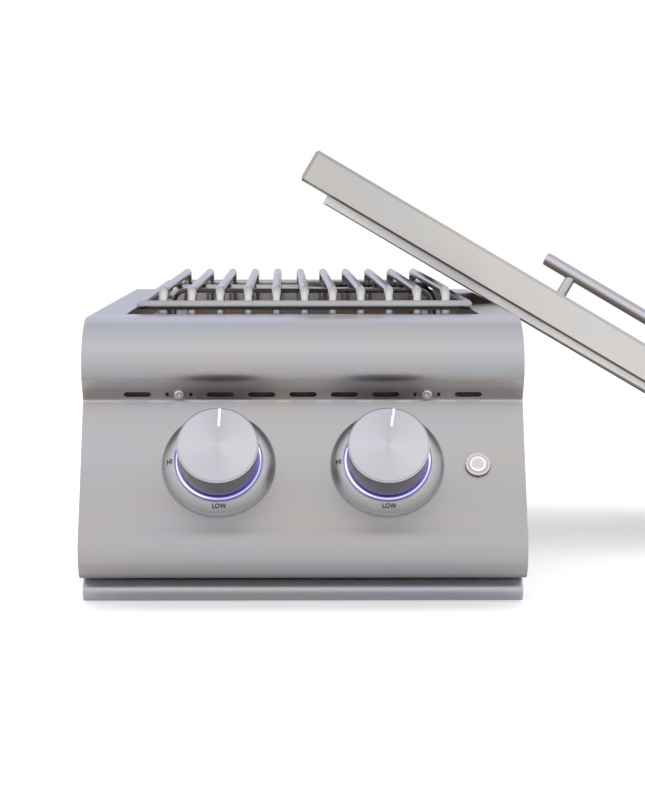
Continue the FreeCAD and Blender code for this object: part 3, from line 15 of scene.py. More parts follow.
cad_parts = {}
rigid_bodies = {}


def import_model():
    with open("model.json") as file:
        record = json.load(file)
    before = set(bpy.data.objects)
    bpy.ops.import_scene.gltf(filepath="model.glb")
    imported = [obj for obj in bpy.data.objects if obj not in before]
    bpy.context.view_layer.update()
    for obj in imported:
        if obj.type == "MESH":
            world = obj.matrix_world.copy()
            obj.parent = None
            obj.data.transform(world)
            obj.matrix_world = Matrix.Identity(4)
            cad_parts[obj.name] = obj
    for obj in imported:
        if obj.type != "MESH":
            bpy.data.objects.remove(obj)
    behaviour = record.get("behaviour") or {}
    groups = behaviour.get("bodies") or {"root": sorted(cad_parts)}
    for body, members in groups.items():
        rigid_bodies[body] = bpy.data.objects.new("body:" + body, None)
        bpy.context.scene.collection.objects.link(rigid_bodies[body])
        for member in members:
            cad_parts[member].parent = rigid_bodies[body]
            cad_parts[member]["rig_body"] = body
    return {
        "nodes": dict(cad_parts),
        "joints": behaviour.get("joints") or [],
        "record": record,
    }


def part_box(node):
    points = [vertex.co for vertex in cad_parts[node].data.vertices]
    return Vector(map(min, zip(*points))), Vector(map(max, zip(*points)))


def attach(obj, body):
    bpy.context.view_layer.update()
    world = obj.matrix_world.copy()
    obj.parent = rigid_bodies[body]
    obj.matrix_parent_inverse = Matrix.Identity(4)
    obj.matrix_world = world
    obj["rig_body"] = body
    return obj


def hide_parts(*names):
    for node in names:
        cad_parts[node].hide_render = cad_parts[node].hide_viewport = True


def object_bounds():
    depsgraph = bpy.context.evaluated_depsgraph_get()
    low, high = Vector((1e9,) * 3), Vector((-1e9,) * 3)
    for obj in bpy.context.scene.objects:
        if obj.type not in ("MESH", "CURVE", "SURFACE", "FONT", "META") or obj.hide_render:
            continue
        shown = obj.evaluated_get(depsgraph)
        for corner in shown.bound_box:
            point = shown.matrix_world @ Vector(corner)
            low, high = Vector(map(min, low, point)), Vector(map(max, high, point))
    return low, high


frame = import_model()
cad_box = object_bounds()

bl_info = {
    "name": "Side burner looks",
    "version": (1, 0, 0),
    "blender": (4, 5, 0),
    "location": "View3D > Sidebar > Side burner",
    "description": "Finishes, lettering, lights and camera for a built-in side burner",
    "category": "Object",
}

MM = 0.001
JOINTS = {joint["name"]: joint for joint in frame["joints"]}
SIDES = ("left", "right")
SHARP = math.radians(28)  # the least bend that counts as an edge
FLOOR_GAP = 0.2 * MM

# How far the lid leans from level, the knobs' faces are turned past the CAD's, and each lit
# pointer past upright
LID_LEAN = math.radians(30.5)
FACE_PAST = math.radians(-2.5)
POINTER_PAST = {"left": FACE_PAST, "right": FACE_PAST - math.radians(6.0)}

# On a knob, from its axis and from its frame's origin: the painted shade line round the edge
# of its face's flat, the flat of the face, the lit ring and half its width, and the lit
# pointer
FACE_SHADE_LINE = 31.2 * MM
FACE_FRONT = 38.9 * MM
RING_RADIUS = 33.6 * MM
RING_HALF = 1.5 * MM
POINTER_SIZE = (2.3 * MM, 16.3 * MM, 0.45 * MM)
POINTER_SPOT = (0, 23.6 * MM, 39.64 * MM)

# Of each lit ring's pale line: least and most half width, and where it is widest in radians
LOBES = {"left": (0.32 * MM, 0.85 * MM, -2.4), "right": (0.45 * MM, 0.9 * MM, -2.65)}

# Of each word: its way from the knob's axis, its shift and width in millimetres, and its
# height as a share of the letter height
WORDS = (
    ("HI", (-1, 0), (0, -1.0), 4.2, 1.0),
    ("LOW", (0, -1), (0.9, 0), 11.2, 0.84),
)
WORD_CUTS = [step * 0.7 * MM for step in range(-8, 9)]  # so that it can follow the bezel

# On the switch, from its axis: its circle of light, and where its outer wall, painted dark as
# shade, starts and ends
SWITCH_LINE = 5.7 * MM
SWITCH_WALL = (9.95 * MM, 10.15 * MM)

# Heights on the front panel: the middle of its nose with its painted highlight, the crease
# under it with its painted bright line, where the painted brown shade between them starts and
# ends, and where the face turns duller
NOSE = -15 * MM
CREASE = -63.8 * MM
BELLY_TOP = (-40 * MM, -52 * MM)
BELLY_END = (-62 * MM, -63 * MM)
PANEL_DULL = (-100 * MM, -135 * MM)

# Along Y, where the deck gets lighter ahead of the grate as a painted highlight, and the
# height of the tray strip's light top, which is painted light
DECK_FRONT = (-285 * MM, -300 * MM)
STRIP_TOP = (-213 * MM, -208 * MM)

# How lightness steps, as painted highlight and shade, with the height on the panel, with
# that on its belly, and outwards on the bezel: from and to what millimetre, and by how much.
# On the panel it is a painted highlight up to the top of the roll and a painted shade round
# the foot
PANEL_STEPS = (
    (-9, 1, 0.08), (-2.5, 0.5, 0.15),           # up to the top of the roll
    (-186, -190, -0.1), (-197, -201.5, -0.42),  # round the foot
)
BELLY_STEPS = ((-32, -45, -0.22), (-45.2, -47.6, 0.27), (-50, -54, -0.25))
BEZEL_STEPS = ((36, 43.5, -0.36), (43.6, 45.4, 0.5))

# On the lid: the bend of its edges, how deep in the liner's edge its inner face starts, and
# the cuts that round the shell's lower corners, in degrees and millimetres
LID_BEND = 2.4 * MM
LINER_SKIN = (0.5 * MM, 0.7 * MM)
CORNER_CUTS = ((22.5, 0.75), (45, 1.0), (67.5, 0.75))

# Name, power setting, place, size and tone of each lamp, and where they all aim
LAMPS = (
    ("key_lamp", "key", (-0.9, -2.6, 2.4), 3.0, (1.0, 0.985, 0.97)),
    ("left_lamp", "fill", (-3.0, -0.6, 1.2), 2.4, (0.97, 0.985, 1.0)),
    ("right_lamp", "fill", (3.0, -0.8, 1.3), 2.4, (1.0, 0.99, 0.98)),
    ("top_lamp", "top", (0.1, 0.9, 3.0), 3.0, (0.93, 0.96, 1.0)),
)
LAMP_AIM = Vector((0.05, -0.1, -0.05))

# How far each noise of brushed sheet reaches along the brushing and across it, and how far the
# red, green and blue of its warm and cool patches go, as shares of the cloud
LINES = (0.22, 0.0011, 0.0011)
HAIR = (0.06, 0.0004, 0.0004)
CLOUDS = (0.11, 0.045, 0.045)
HUES = ((0.6, 0.0, -0.7), (-0.6, -0.1, 0.9))

# Tones round the face of a knob, a painted sheen, from the left and against the clock
SHEEN_FAN = (
    (0.0, (0.96, 0.96, 0.97)), (0.12, (0.89, 0.89, 0.9)), (0.25, (0.86, 0.85, 0.87)),
    (0.4, (0.97, 0.97, 0.97)), (0.5, (0.98, 0.99, 0.99)), (0.62, (0.9, 0.9, 0.91)),
    (0.75, (0.8, 0.8, 0.81)), (0.88, (0.91, 0.91, 0.92)), (1.0, (0.96, 0.96, 0.97)),
)


# What a user would change

def colour(name, description, default):
    return FloatVectorProperty(
        name=name, description=description, default=default, subtype="COLOR", min=0, max=1)


def length(name, description, millimetres):
    return FloatProperty(
        name=name, description=description, default=millimetres * MM, unit="LENGTH",
        subtype="DISTANCE", precision=4)


def amount(name, description, default, high=1.0):
    return FloatProperty(name=name, description=description, default=default, min=0, max=high)


class SheetFinish(bpy.types.PropertyGroup):
    """Tones and edges of the stainless sheet."""
    panel: colour("Panel", "Front panel and end plates", (0.475, 0.466, 0.475))
    strip: colour("Strip", "Front of the drip tray", (0.555, 0.555, 0.6))
    deck: colour("Deck", "Top of the deck", (0.5, 0.5, 0.52))
    lid: colour("Lid", "Lid shell", (0.635, 0.61, 0.58))
    # Painted light: the liner's tone is raised above the lid's steel
    liner: colour("Liner", "Inner skin of the lid", (0.86, 0.85, 0.84))
    inner: colour("Inner sheet", "Box, tray and brackets", (0.36, 0.345, 0.33))
    pan: colour("Pan", "Burner pan, warm from the heat", (0.5, 0.42, 0.37))
    # The bars and the rail are one steel: their two tones are painted light and painted shade
    rod: colour("Rod", "Bars of the grate", (0.54, 0.53, 0.54))
    rail: colour("Rail", "Ring and cross rod of the grate", (0.46, 0.455, 0.47))
    roughness: amount("Roughness", "How dull the brushed sheet is", 0.34)
    grain: amount("Grain", "How much the brushing varies the tone", 0.05)
    edge: length("Cut edge", "How far the cut edges of the sheet are eased", 0.25)


class KnobFinish(bpy.types.PropertyGroup):
    """Knobs, bezels and their lettering."""
    face: colour("Face", "Brushed face of the knob", (0.63, 0.63, 0.675))
    grip: colour("Grip", "Side of the knob", (0.15, 0.13, 0.125))
    bezel: colour("Bezel", "Satin ring round the knob", (0.45, 0.445, 0.46))
    print: colour("Lettering", "Printed words", (0.012, 0.012, 0.014))
    letter: length("Letter height", "Height of the printed capitals", 4.2)
    word_radius: length("Word radius", "Words' distance from the knob axis", 39.1)
    print_lift: length("Print thickness", "How far the print stands off the bezel", 0.06)


class LampFinish(bpy.types.PropertyGroup):
    """Lit rings and pointers."""
    core: colour("Core", "Middle of the lit ring", (0.93, 0.94, 1.0))
    edge: colour("Edge", "Border of the lit ring", (0.17, 0.16, 0.6))
    strength: amount("Strength", "Brightness of the lit rings", 1.1, 10)
    warm: colour("Switch ring", "Lit ring of the switch", (1.0, 0.84, 0.66))
    pointer: amount("Pointer", "Brightness of the lit pointers", 0.95, 10)


class StageSettings(bpy.types.PropertyGroup):
    """Camera, lamps, floor and background."""
    camera: FloatVectorProperty(
        name="Camera place", description="Where the camera stands", unit="LENGTH",
        subtype="XYZ", precision=4, default=(-0.0036, -2.567, 0.099))
    pitch: FloatProperty(
        name="Camera pitch", description="Tilt of the camera, 90 degrees is level",
        subtype="ANGLE", default=math.radians(90 - 4.327))
    yaw: FloatProperty(
        name="Camera yaw", description="Turn of the camera to its left", subtype="ANGLE",
        default=math.radians(-0.51))
    lens: FloatProperty(
        name="Lens", description="Focal length in millimetres on a 36 mm tall frame",
        default=120.4)
    floor: colour("Floor", "Tone of the pale floor", (0.75, 0.75, 0.75))
    floor_glow: amount("Floor white", "What the background adds to the floor", 0.57, 2)
    floor_shine: amount("Floor in metal", "What metal sees added to the floor ahead", 0.27, 2)
    world: amount("World", "Light from all round", 0.62, 5)
    front: colour("Front", "What metal sees in front", (1.0, 1.0, 1.0))
    back: colour("Back", "What metal sees behind", (0.76, 0.79, 0.92))
    softbox: amount("Softbox", "Glow in metal from the front and above", 0.1)
    key: amount("Key lamp", "Power in watts", 24, 1000)
    fill: amount("Side lamps", "Power in watts", 14, 1000)
    top: amount("Top lamp", "Power in watts", 24, 1000)


GROUPS = {
    "burner_sheet": SheetFinish,
    "burner_knobs": KnobFinish,
    "burner_lamps": LampFinish,
    "burner_stage": StageSettings,
}


# Materials

class Flow:
    """One output of a finish's nodes, so that sums on it read as Python."""

    def __init__(self, finish, socket):
        self.finish = finish
        self.socket = socket

    def sum(self, operation, *values):
        settings = {"operation": operation}
        return self.finish.node("ShaderNodeMath", settings, dict(enumerate(values)))[0]

    def __add__(self, other):
        return self.sum("ADD", self, other)

    def __radd__(self, other):
        return self.sum("ADD", other, self)

    def __sub__(self, other):
        return self.sum("SUBTRACT", self, other)

    def __rsub__(self, other):
        return self.sum("SUBTRACT", other, self)

    def __mul__(self, other):
        return self.sum("MULTIPLY", self, other)

    def __rmul__(self, other):
        return self.sum("MULTIPLY", other, self)

    def __truediv__(self, other):
        return self.sum("DIVIDE", self, other)

    def __pow__(self, other):
        return self.sum("POWER", self, other)

    def __abs__(self):
        return self.sum("ABSOLUTE", self)

    def swing(self, amount):
        """A noise about its middle, times an amount."""
        return (self - 0.5) * amount


def radius_of(across, up):
    return (across * across + up * up) ** 0.5


def angle_of(across, up):
    return up.sum("ARCTAN2", up, across)


def cosine(angle):
    return angle.sum("COSINE", angle)


def scaled(tone, steps):
    """A tone with each of its channels times its own step."""
    return tuple(value * step for value, step in zip(tone, steps))


class Finish:
    """A material, or the world, while it is being made."""

    def __init__(self, name, kind="materials"):
        self.owner = getattr(bpy.data, kind).new(name)
        self.owner.use_nodes = True
        self.tree = self.owner.node_tree
        self.tree.nodes.clear()

    def node(self, kind, settings, inputs):
        """Adds a node, sets it up, joins its inputs and returns its outputs."""
        made = self.tree.nodes.new(kind)
        for key, value in settings.items():
            if key == "stops":
                ramp = made.color_ramp.elements
                while len(ramp) < len(value):
                    ramp.new(0.5)
                for stop, (place, tone) in zip(ramp, value):
                    stop.position = place
                    stop.color = (*tone, 1)
            else:
                setattr(made, key, value)
        for key, value in inputs.items():
            socket = made.inputs[key]
            if isinstance(value, Flow):
                self.tree.links.new(value.socket, socket)
            elif socket.type == "RGBA" and len(value) == 3:
                socket.default_value = (*value, 1)
            else:
                socket.default_value = value
        return Outputs(self, made)

    def place(self, centre=(0, 0, 0), turn=(0, 0, 0), scale=(1, 1, 1)):
        """Object coordinates seen from a centre and a turn, in units of scale."""
        spot = self.node("ShaderNodeTexCoord", {}, {})["Object"]
        return self.node("ShaderNodeMapping", {"vector_type": "TEXTURE"}, {
            "Vector": spot, "Location": centre, "Rotation": turn, "Scale": scale})[0]

    def parts(self, where):
        """The three coordinates of a place."""
        out = self.node("ShaderNodeSeparateXYZ", {}, {"Vector": where})
        return out[0], out[1], out[2]

    def facing(self):
        """How far the surface faces along X, Y and Z."""
        return self.parts(self.node("ShaderNodeTexCoord", {}, {})["Normal"])

    def noise(self, where, scale, detail):
        return self.node("ShaderNodeTexNoise", {"noise_dimensions": "3D"}, {
            "Vector": where, "Scale": scale, "Detail": detail, "Roughness": 0.55})["Fac"]

    def lathe(self, radius, along, scale):
        """Noise in rings round an axis."""
        rings = self.node("ShaderNodeCombineXYZ", {}, {"X": radius, "Y": along})[0]
        return self.noise(rings, scale, 2)

    def between(self, value, low, high, start=0.0, end=1.0, way="LINEAR"):
        """Maps value from low..high to start..end and stops there."""
        return self.node("ShaderNodeMapRange", {"interpolation_type": way, "clamp": True}, {
            "Value": value, "From Min": low, "From Max": high, "To Min": start,
            "To Max": end})[0]

    def near(self, off, inner, outer, most):
        """The most as far off as inner, then gently down to nothing at outer."""
        return self.between(off, inner, outer, most, 0.0, "SMOOTHSTEP")

    def steps(self, value, table):
        """Adds up the steps of a table along a value in metres."""
        return sum(self.between(value, start * MM, end * MM, 0.0, size)
                   for start, end, size in table)

    def mix(self, share, first, second):
        """A colour between two others."""
        settings = {"data_type": "RGBA", "blend_type": "MIX", "clamp_factor": True}
        return self.node("ShaderNodeMix", settings, {0: share, 6: first, 7: second})[2]

    def brighten(self, tone, value):
        """A colour times a number."""
        return self.node("ShaderNodeVectorMath", {"operation": "SCALE"}, {
            0: tone, "Scale": value})[0]

    def bump(self, height, distance, strength):
        return self.node("ShaderNodeBump", {}, {
            "Height": height, "Distance": distance, "Strength": strength})[0]

    def surface(self, **inputs):
        """The main shader, on the material's output."""
        names = {key.replace("_", " ").title(): value for key, value in inputs.items()}
        return self.show(self.node("ShaderNodeBsdfPrincipled", {}, names)[0])

    def show(self, shader):
        self.node("ShaderNodeOutputMaterial", {}, {"Surface": shader})
        return self.owner


class Outputs:
    """The outputs of a node, by number or by name."""

    def __init__(self, finish, made):
        self.finish = finish
        self.made = made

    def __getitem__(self, key):
        return Flow(self.finish, self.made.outputs[key])


def brushed_sheet(name, tone, roughness, grain, centre=(0, 0, 0), turn=(0, 0, 0),
                  cloud=0.035, shade=None, brown=(1.085, 0.98, 0.935)):
    """Stainless sheet brushed along the pattern's X, with cloudy warm and cool patches.

    The shade, if any, takes the place in metres from the centre and returns how light the
    sheet is there, how far it goes over to brown and how much rougher it is.
    """
    finish = Finish(name)
    wide = finish.noise(finish.place(centre, turn, LINES), 1.0, 2)
    fine = finish.noise(finish.place(centre, turn, HAIR), 1.0, 2)
    patches = finish.noise(finish.place(centre, turn, CLOUDS), 1.0, 3)
    level = 1 + wide.swing(grain) + fine.swing(grain) + patches.swing(cloud * 2)
    warm, cool = (scaled(tone, [1 + cloud * step for step in steps]) for steps in HUES)
    hue = finish.mix(finish.between(patches, 0.38, 0.62), warm, cool)
    rougher = 0.0
    if shade:
        light, browned, rougher = shade(finish, finish.parts(finish.place(centre, turn)))
        level = level * light
        hue = finish.mix(browned, hue, scaled(tone, brown))
    return finish.surface(
        base_color=finish.brighten(hue, level), metallic=1.0,
        roughness=fine.swing(0.12) + patches.swing(0.1) + rougher + roughness,
        normal=finish.bump(wide + fine * 0.6, 0.00002, 0.35))


def dull_sheet(name, tone, roughness, pan_heights=None):
    """Inner sheet with rolled grain and faint spangle.

    Given two heights of the pan, they say where its straw tint starts and is full. It is then
    a darker neutral grey ahead of the burners, as painted shade, and has painted light along
    its rear lip.
    """
    finish = Finish(name)
    where = finish.place()
    grain = finish.noise(finish.place(scale=(0.3, 0.004, 0.004)), 1.0, 2)
    spangle = finish.noise(where, 90, 3)
    wipe = finish.noise(where, 9, 3)
    level = 0.94 + grain.swing(0.1) + spangle.swing(0.1) + wipe.swing(0.12)
    base = finish.brighten(tone, level)
    if pan_heights:
        _, back, up = finish.parts(where)
        straw = finish.between(up, *pan_heights) * finish.between(wipe, 0.3, 0.6) * 0.75
        base = finish.mix(straw, base, scaled(tone, (0.82, 0.62, 0.45)))
        # Painted shade: a darker neutral grey ahead of the burners
        ahead = finish.between(back, -0.06, -0.2)
        base = finish.mix(ahead, base, (0.36, 0.36, 0.38))
        # Painted light along the rear lip
        lip = finish.between(up, -10 * MM, -8 * MM) * finish.between(back, 0.2, 0.25)
        base = finish.mix(lip, base, (0.8, 0.8, 0.82))
    return finish.surface(
        base_color=base, metallic=1.0, roughness=roughness + wipe.swing(0.16),
        normal=finish.bump(spangle, 0.00003, 0.3))


def polished_rod(name, tone, front=0.0):
    """Drawn stainless rod with straw marks, painted dark brown on its underside as its shade.

    The front says how much painted highlight it has where it faces forward.
    """
    finish = Finish(name)
    where = finish.place()
    draw = finish.noise(where, 300, 2)
    marks = finish.between(finish.noise(where, 26, 3), 0.5, 0.75)
    base = finish.mix(marks, tone, scaled(tone, (0.95, 0.89, 0.84)))
    # Painted shade: dark brown where the rod faces down; painted highlight where it faces
    # forward
    _, back, up = finish.facing()
    under = finish.between(up, -0.1, -0.75, 0.0, 0.85, "SMOOTHSTEP")
    base = finish.mix(under, base, (0.17, 0.125, 0.1))
    level = 0.97 + draw.swing(0.08) + finish.between(back, -0.6, -0.95, 0.0, front)
    return finish.surface(
        base_color=finish.brighten(base, level), metallic=1.0,
        roughness=0.26 + draw.swing(0.1))


def grip_bar(name, tone, centre, turn, height, radius):
    """Drawn round bar with a painted reflection: brown below where it mirrors the sheet, blue
    above.

    The height is that of its axis over the centre.
    """
    finish = Finish(name)
    _, _, up = finish.parts(finish.place(centre, turn))
    level = (up - height) / radius
    grain = finish.noise(finish.place(centre, turn, (0.1, 0.0006, 0.0006)), 1.0, 2)
    # Painted reflection: dark brown on the lower half, blue-grey on the upper
    below = finish.between(level, -0.05, -0.4)
    base = finish.mix(below, tone, scaled(tone, (0.34, 0.29, 0.265)))
    above = finish.between(level, 0.3, 0.6)
    base = finish.mix(above, base, scaled(tone, (0.68, 0.7, 0.77)))
    return finish.surface(
        base_color=finish.brighten(base, 0.95 + grain * 0.1), metallic=1.0,
        roughness=0.2 + grain * 0.06)


def lit_post(name, tone):
    """Short round post with painted shade where it faces up and down the slope that it stands
    on.
    """
    finish = Finish(name)
    grain = finish.noise(finish.place(scale=(1, 0.01, 1)), 900, 2)
    _, _, up = finish.facing()
    level = 0.95 + grain * 0.1 - finish.between(up, -0.15, -0.44, 0.0, 0.74)
    level = level - finish.between(up, 0.3, 0.46, 0.0, 0.3)
    return finish.surface(
        base_color=finish.brighten(tone, level), metallic=1.0, roughness=0.22 + grain * 0.06)


def cast_iron(name):
    """Burner castings: sandy grey iron with a little rust in the hollows."""
    finish = Finish(name)
    where = finish.place()
    sand = finish.noise(where, 700, 4)
    lumps = finish.noise(where, 60, 3)
    rust = finish.between(lumps, 0.5, 0.72)
    base = finish.mix(rust, (0.065, 0.062, 0.06), (0.11, 0.062, 0.038))
    return finish.surface(
        base_color=finish.brighten(base, 0.8 + sand * 0.5), metallic=0.35,
        roughness=0.62 + sand.swing(0.25),
        normal=finish.bump(sand + lumps * 0.5, 0.0003, 0.6))


def brass(name):
    """Turned brass, dull and brown in places."""
    finish = Finish(name)
    where = finish.place()
    turned = finish.noise(where, 520, 2)
    dull = finish.noise(where, 45, 3)
    base = finish.mix(finish.between(dull, 0.4, 0.7), (0.72, 0.5, 0.2), (0.5, 0.33, 0.14))
    return finish.surface(
        base_color=base, metallic=1.0, roughness=0.3 + dull * 0.16,
        normal=finish.bump(turned, 0.00002, 0.3))


def plain_metal(name, tone, roughness):
    """Small bright parts: screws, springs and stems."""
    finish = Finish(name)
    turned = finish.noise(finish.place(), 900, 2)
    return finish.surface(
        base_color=finish.brighten(tone, 0.92 + turned * 0.14), metallic=1.0,
        roughness=roughness + turned.swing(0.12), normal=finish.bump(turned, 0.00001, 0.3))


def moulded(name, tone, roughness, texture=0.0001):
    """Plastic, ink, sleeving or glaze with a fine texture, its height in metres."""
    finish = Finish(name)
    spark = finish.noise(finish.place(), 1300, 2)
    shade = finish.noise(finish.place(), 35, 2)
    return finish.surface(
        base_color=finish.brighten(tone, 0.94 + shade * 0.12), metallic=0.0,
        roughness=roughness + spark.swing(0.12), normal=finish.bump(spark, texture, 0.25))


def spun_face(name, side, tone):
    """Lathe-spun knob face with a painted fan of sheen and a painted shade line round its
    flat.
    """
    finish = Finish(name)
    across, up, out = finish.parts(finish.place(*knob_frame(side)))
    radius = radius_of(across, up)
    share = angle_of(across, up) / (2 * math.pi) + 0.5
    # Painted sheen: tones that swing round the face
    fan = finish.node("ShaderNodeValToRGB", {"stops": SHEEN_FAN}, {"Fac": share})[0]
    lathe = finish.lathe(radius, share * 0.004, 1600)
    base = finish.node("ShaderNodeVectorMath", {"operation": "MULTIPLY"}, {
        0: fan, 1: tone})[0]
    # Painted shade line round the edge of the flat
    line = finish.near(abs(radius - FACE_SHADE_LINE), 0.1 * MM, 0.5 * MM, 0.24)
    wall = finish.between(out, FACE_FRONT, FACE_FRONT - 0.4 * MM, 0.0, 0.72)
    return finish.surface(
        base_color=finish.brighten(base, 0.97 + lathe * 0.06 - line - wall), metallic=1.0,
        roughness=0.34 + lathe.swing(0.14), normal=finish.bump(lathe, 0.00001, 0.3))


def satin_ring(name, centre, turn, tone):
    """Satin metal turned on a lathe, with painted sheen, darker towards its rim as painted
    shade.
    """
    finish = Finish(name)
    across, up, out = finish.parts(finish.place(centre, turn))
    radius = radius_of(across, up)
    lathe = finish.lathe(radius, out, 1300)
    cloud = finish.noise(finish.place(), 70, 2)
    # Painted sheen round the ring, then painted shade outwards and a painted highlight at the
    # rim
    wave = cosine(angle_of(across, up) * 2)
    level = 1.11 + lathe.swing(0.1) + cloud.swing(0.1) + wave * 0.09
    level = level + finish.steps(radius, BEZEL_STEPS)
    return finish.surface(
        base_color=finish.brighten(tone, level), metallic=1.0,
        roughness=0.36 + lathe.swing(0.14), normal=finish.bump(lathe, 0.00001, 0.3))


def lit_ring(name, centre, turn, lobe, core, edge, strength):
    """Light pipe: a pale line of uneven width, as its lobe says, in a coloured border."""
    finish = Finish(name)
    across, up, _ = finish.parts(finish.place(centre, turn))
    off = abs(radius_of(across, up) - RING_RADIUS)
    wave = cosine((angle_of(across, up) - lobe[2]) * 2)
    wide = finish.between(wave, -0.2, 1.0, lobe[0], lobe[1], "SMOOTHSTEP")
    share = finish.between(off / wide, 0.55, 1.35, way="SMOOTHSTEP")
    rim = finish.between(off, RING_HALF * 0.75, RING_HALF * 1.05, 1.0, 0.9)
    return finish.surface(
        base_color=(0.03, 0.03, 0.08), roughness=0.35, emission_strength=strength,
        emission_color=finish.brighten(finish.mix(share, core, edge), rim))


def lit_grip(name, side, tone, glow):
    """Moulded knob side with a painted glow of the light of the ring below it."""
    finish = Finish(name)
    spark = finish.noise(finish.place(), 1300, 2)
    shade = finish.noise(finish.place(), 60, 3)
    _, _, out = finish.parts(finish.place(*knob_frame(side)))
    # Painted glow: the ring's border colour, given off low on the grip
    caught = finish.between(out, 15 * MM, 11 * MM, 0.0, 0.5, "SMOOTHSTEP")
    return finish.surface(
        base_color=finish.brighten(tone, 0.85 + shade * 0.3), metallic=0.0,
        roughness=0.34 + spark.swing(0.12), emission_strength=1.0,
        emission_color=finish.brighten(glow, caught),
        normal=finish.bump(spark, 0.00004, 0.25))


def glowing_mark(name, strength):
    """Lit pointer in the knob face."""
    finish = Finish(name)
    cloud = finish.noise(finish.place(), 260, 2)
    return finish.surface(
        base_color=(0.3, 0.3, 0.36), roughness=0.3, emission_strength=strength,
        emission_color=finish.brighten((0.72, 0.73, 0.95), 0.85 + cloud * 0.3))


# Places and pieces

def knob_frame(side):
    """Centre and rotation of a knob: X across, Y up the panel and Z out of it."""
    joint = JOINTS[side + "_knob_turn"]
    out = Vector(joint["axis"]).normalized()
    return Vector(joint["pos_m"]), (math.atan2(-out.y, out.z), 0.0, 0.0)


def frame_matrix(centre, turn):
    return Matrix.Translation(centre) @ Matrix.Rotation(turn[0], 4, "X")


def seen_from(place, node):
    """The points of a CAD node in the frame of a place."""
    back = place.inverted()
    return [back @ vert.co for vert in frame["nodes"][node].data.vertices]


def corners(spots):
    """Least and most corner of some points."""
    axes = list(zip(*spots))
    return Vector(min(axis) for axis in axes), Vector(max(axis) for axis in axes)


def cad_copy(node):
    """A CAD node's mesh with its seams joined and its flat faces whole."""
    mesh = bmesh.new()
    mesh.from_mesh(frame["nodes"][node].data)
    bmesh.ops.remove_doubles(mesh, verts=mesh.verts, dist=1e-6)
    bmesh.ops.dissolve_limit(
        mesh, angle_limit=math.radians(0.3), verts=mesh.verts, edges=mesh.edges)
    return mesh


def cut(mesh, spot, normal, clear=False):
    """Cuts a mesh by a plane, clears what lies past it if asked, and returns the cut."""
    return bmesh.ops.bisect_plane(
        mesh, geom=mesh.verts[:] + mesh.edges[:] + mesh.faces[:], plane_co=spot,
        plane_no=normal, clear_outer=clear)["geom_cut"]


def new_object(mesh, name, finish):
    """Makes a mesh an object of the scene with its finish."""
    data = bpy.data.meshes.new(name)
    mesh.to_mesh(data)
    mesh.free()
    data.materials.append(finish)
    made = bpy.data.objects.new(name, data)
    bpy.context.scene.collection.objects.link(made)
    return made


def put_piece(mesh, name, body, slot, finish, replaced=(), ease=0.0, segments=2):
    """Makes the mesh a piece with its finish and body, its sharp edges eased; the slot is not
    used.
    """
    piece = new_object(mesh, name, finish)
    piece.data.shade_smooth()
    if ease:
        bevel = piece.modifiers.new("Eased edges", "BEVEL")
        bevel.width = ease
        bevel.segments = segments
        bevel.limit_method = "ANGLE"
        bevel.angle_limit = SHARP
        bevel.use_clamp_overlap = True
        weighted = piece.modifiers.new("Flat faces stay flat", "WEIGHTED_NORMAL")
        weighted.mode = "FACE_AREA"
        weighted.keep_sharp = True
    else:
        piece.data.set_sharp_from_angle(angle=SHARP)
    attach(piece, body)
    if replaced:
        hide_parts(*replaced)


def slot_of(node):
    """The material slot that the record gives a node."""
    parts = frame["record"]["subparts"]
    return next(part["material_slot"] for part in parts if part["node"] == node)


def restate(mesh, node, name, finish, ease, segments=2):
    """Puts a changed copy of a CAD node in its place."""
    put_piece(mesh, name, frame["nodes"][node]["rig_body"], slot_of(node), finish, (node,),
              ease, segments)


def dress(node, name, finish, ease, segments=2):
    """Replaces a CAD node by its own shape with eased edges and a finish."""
    restate(cad_copy(node), node, name, finish, ease, segments)


def paint(finish, *names):
    """Gives CAD nodes a finish."""
    for name in names:
        frame["nodes"][name].material_slots[0].material = finish


# Operators, one for each piece or group of like pieces

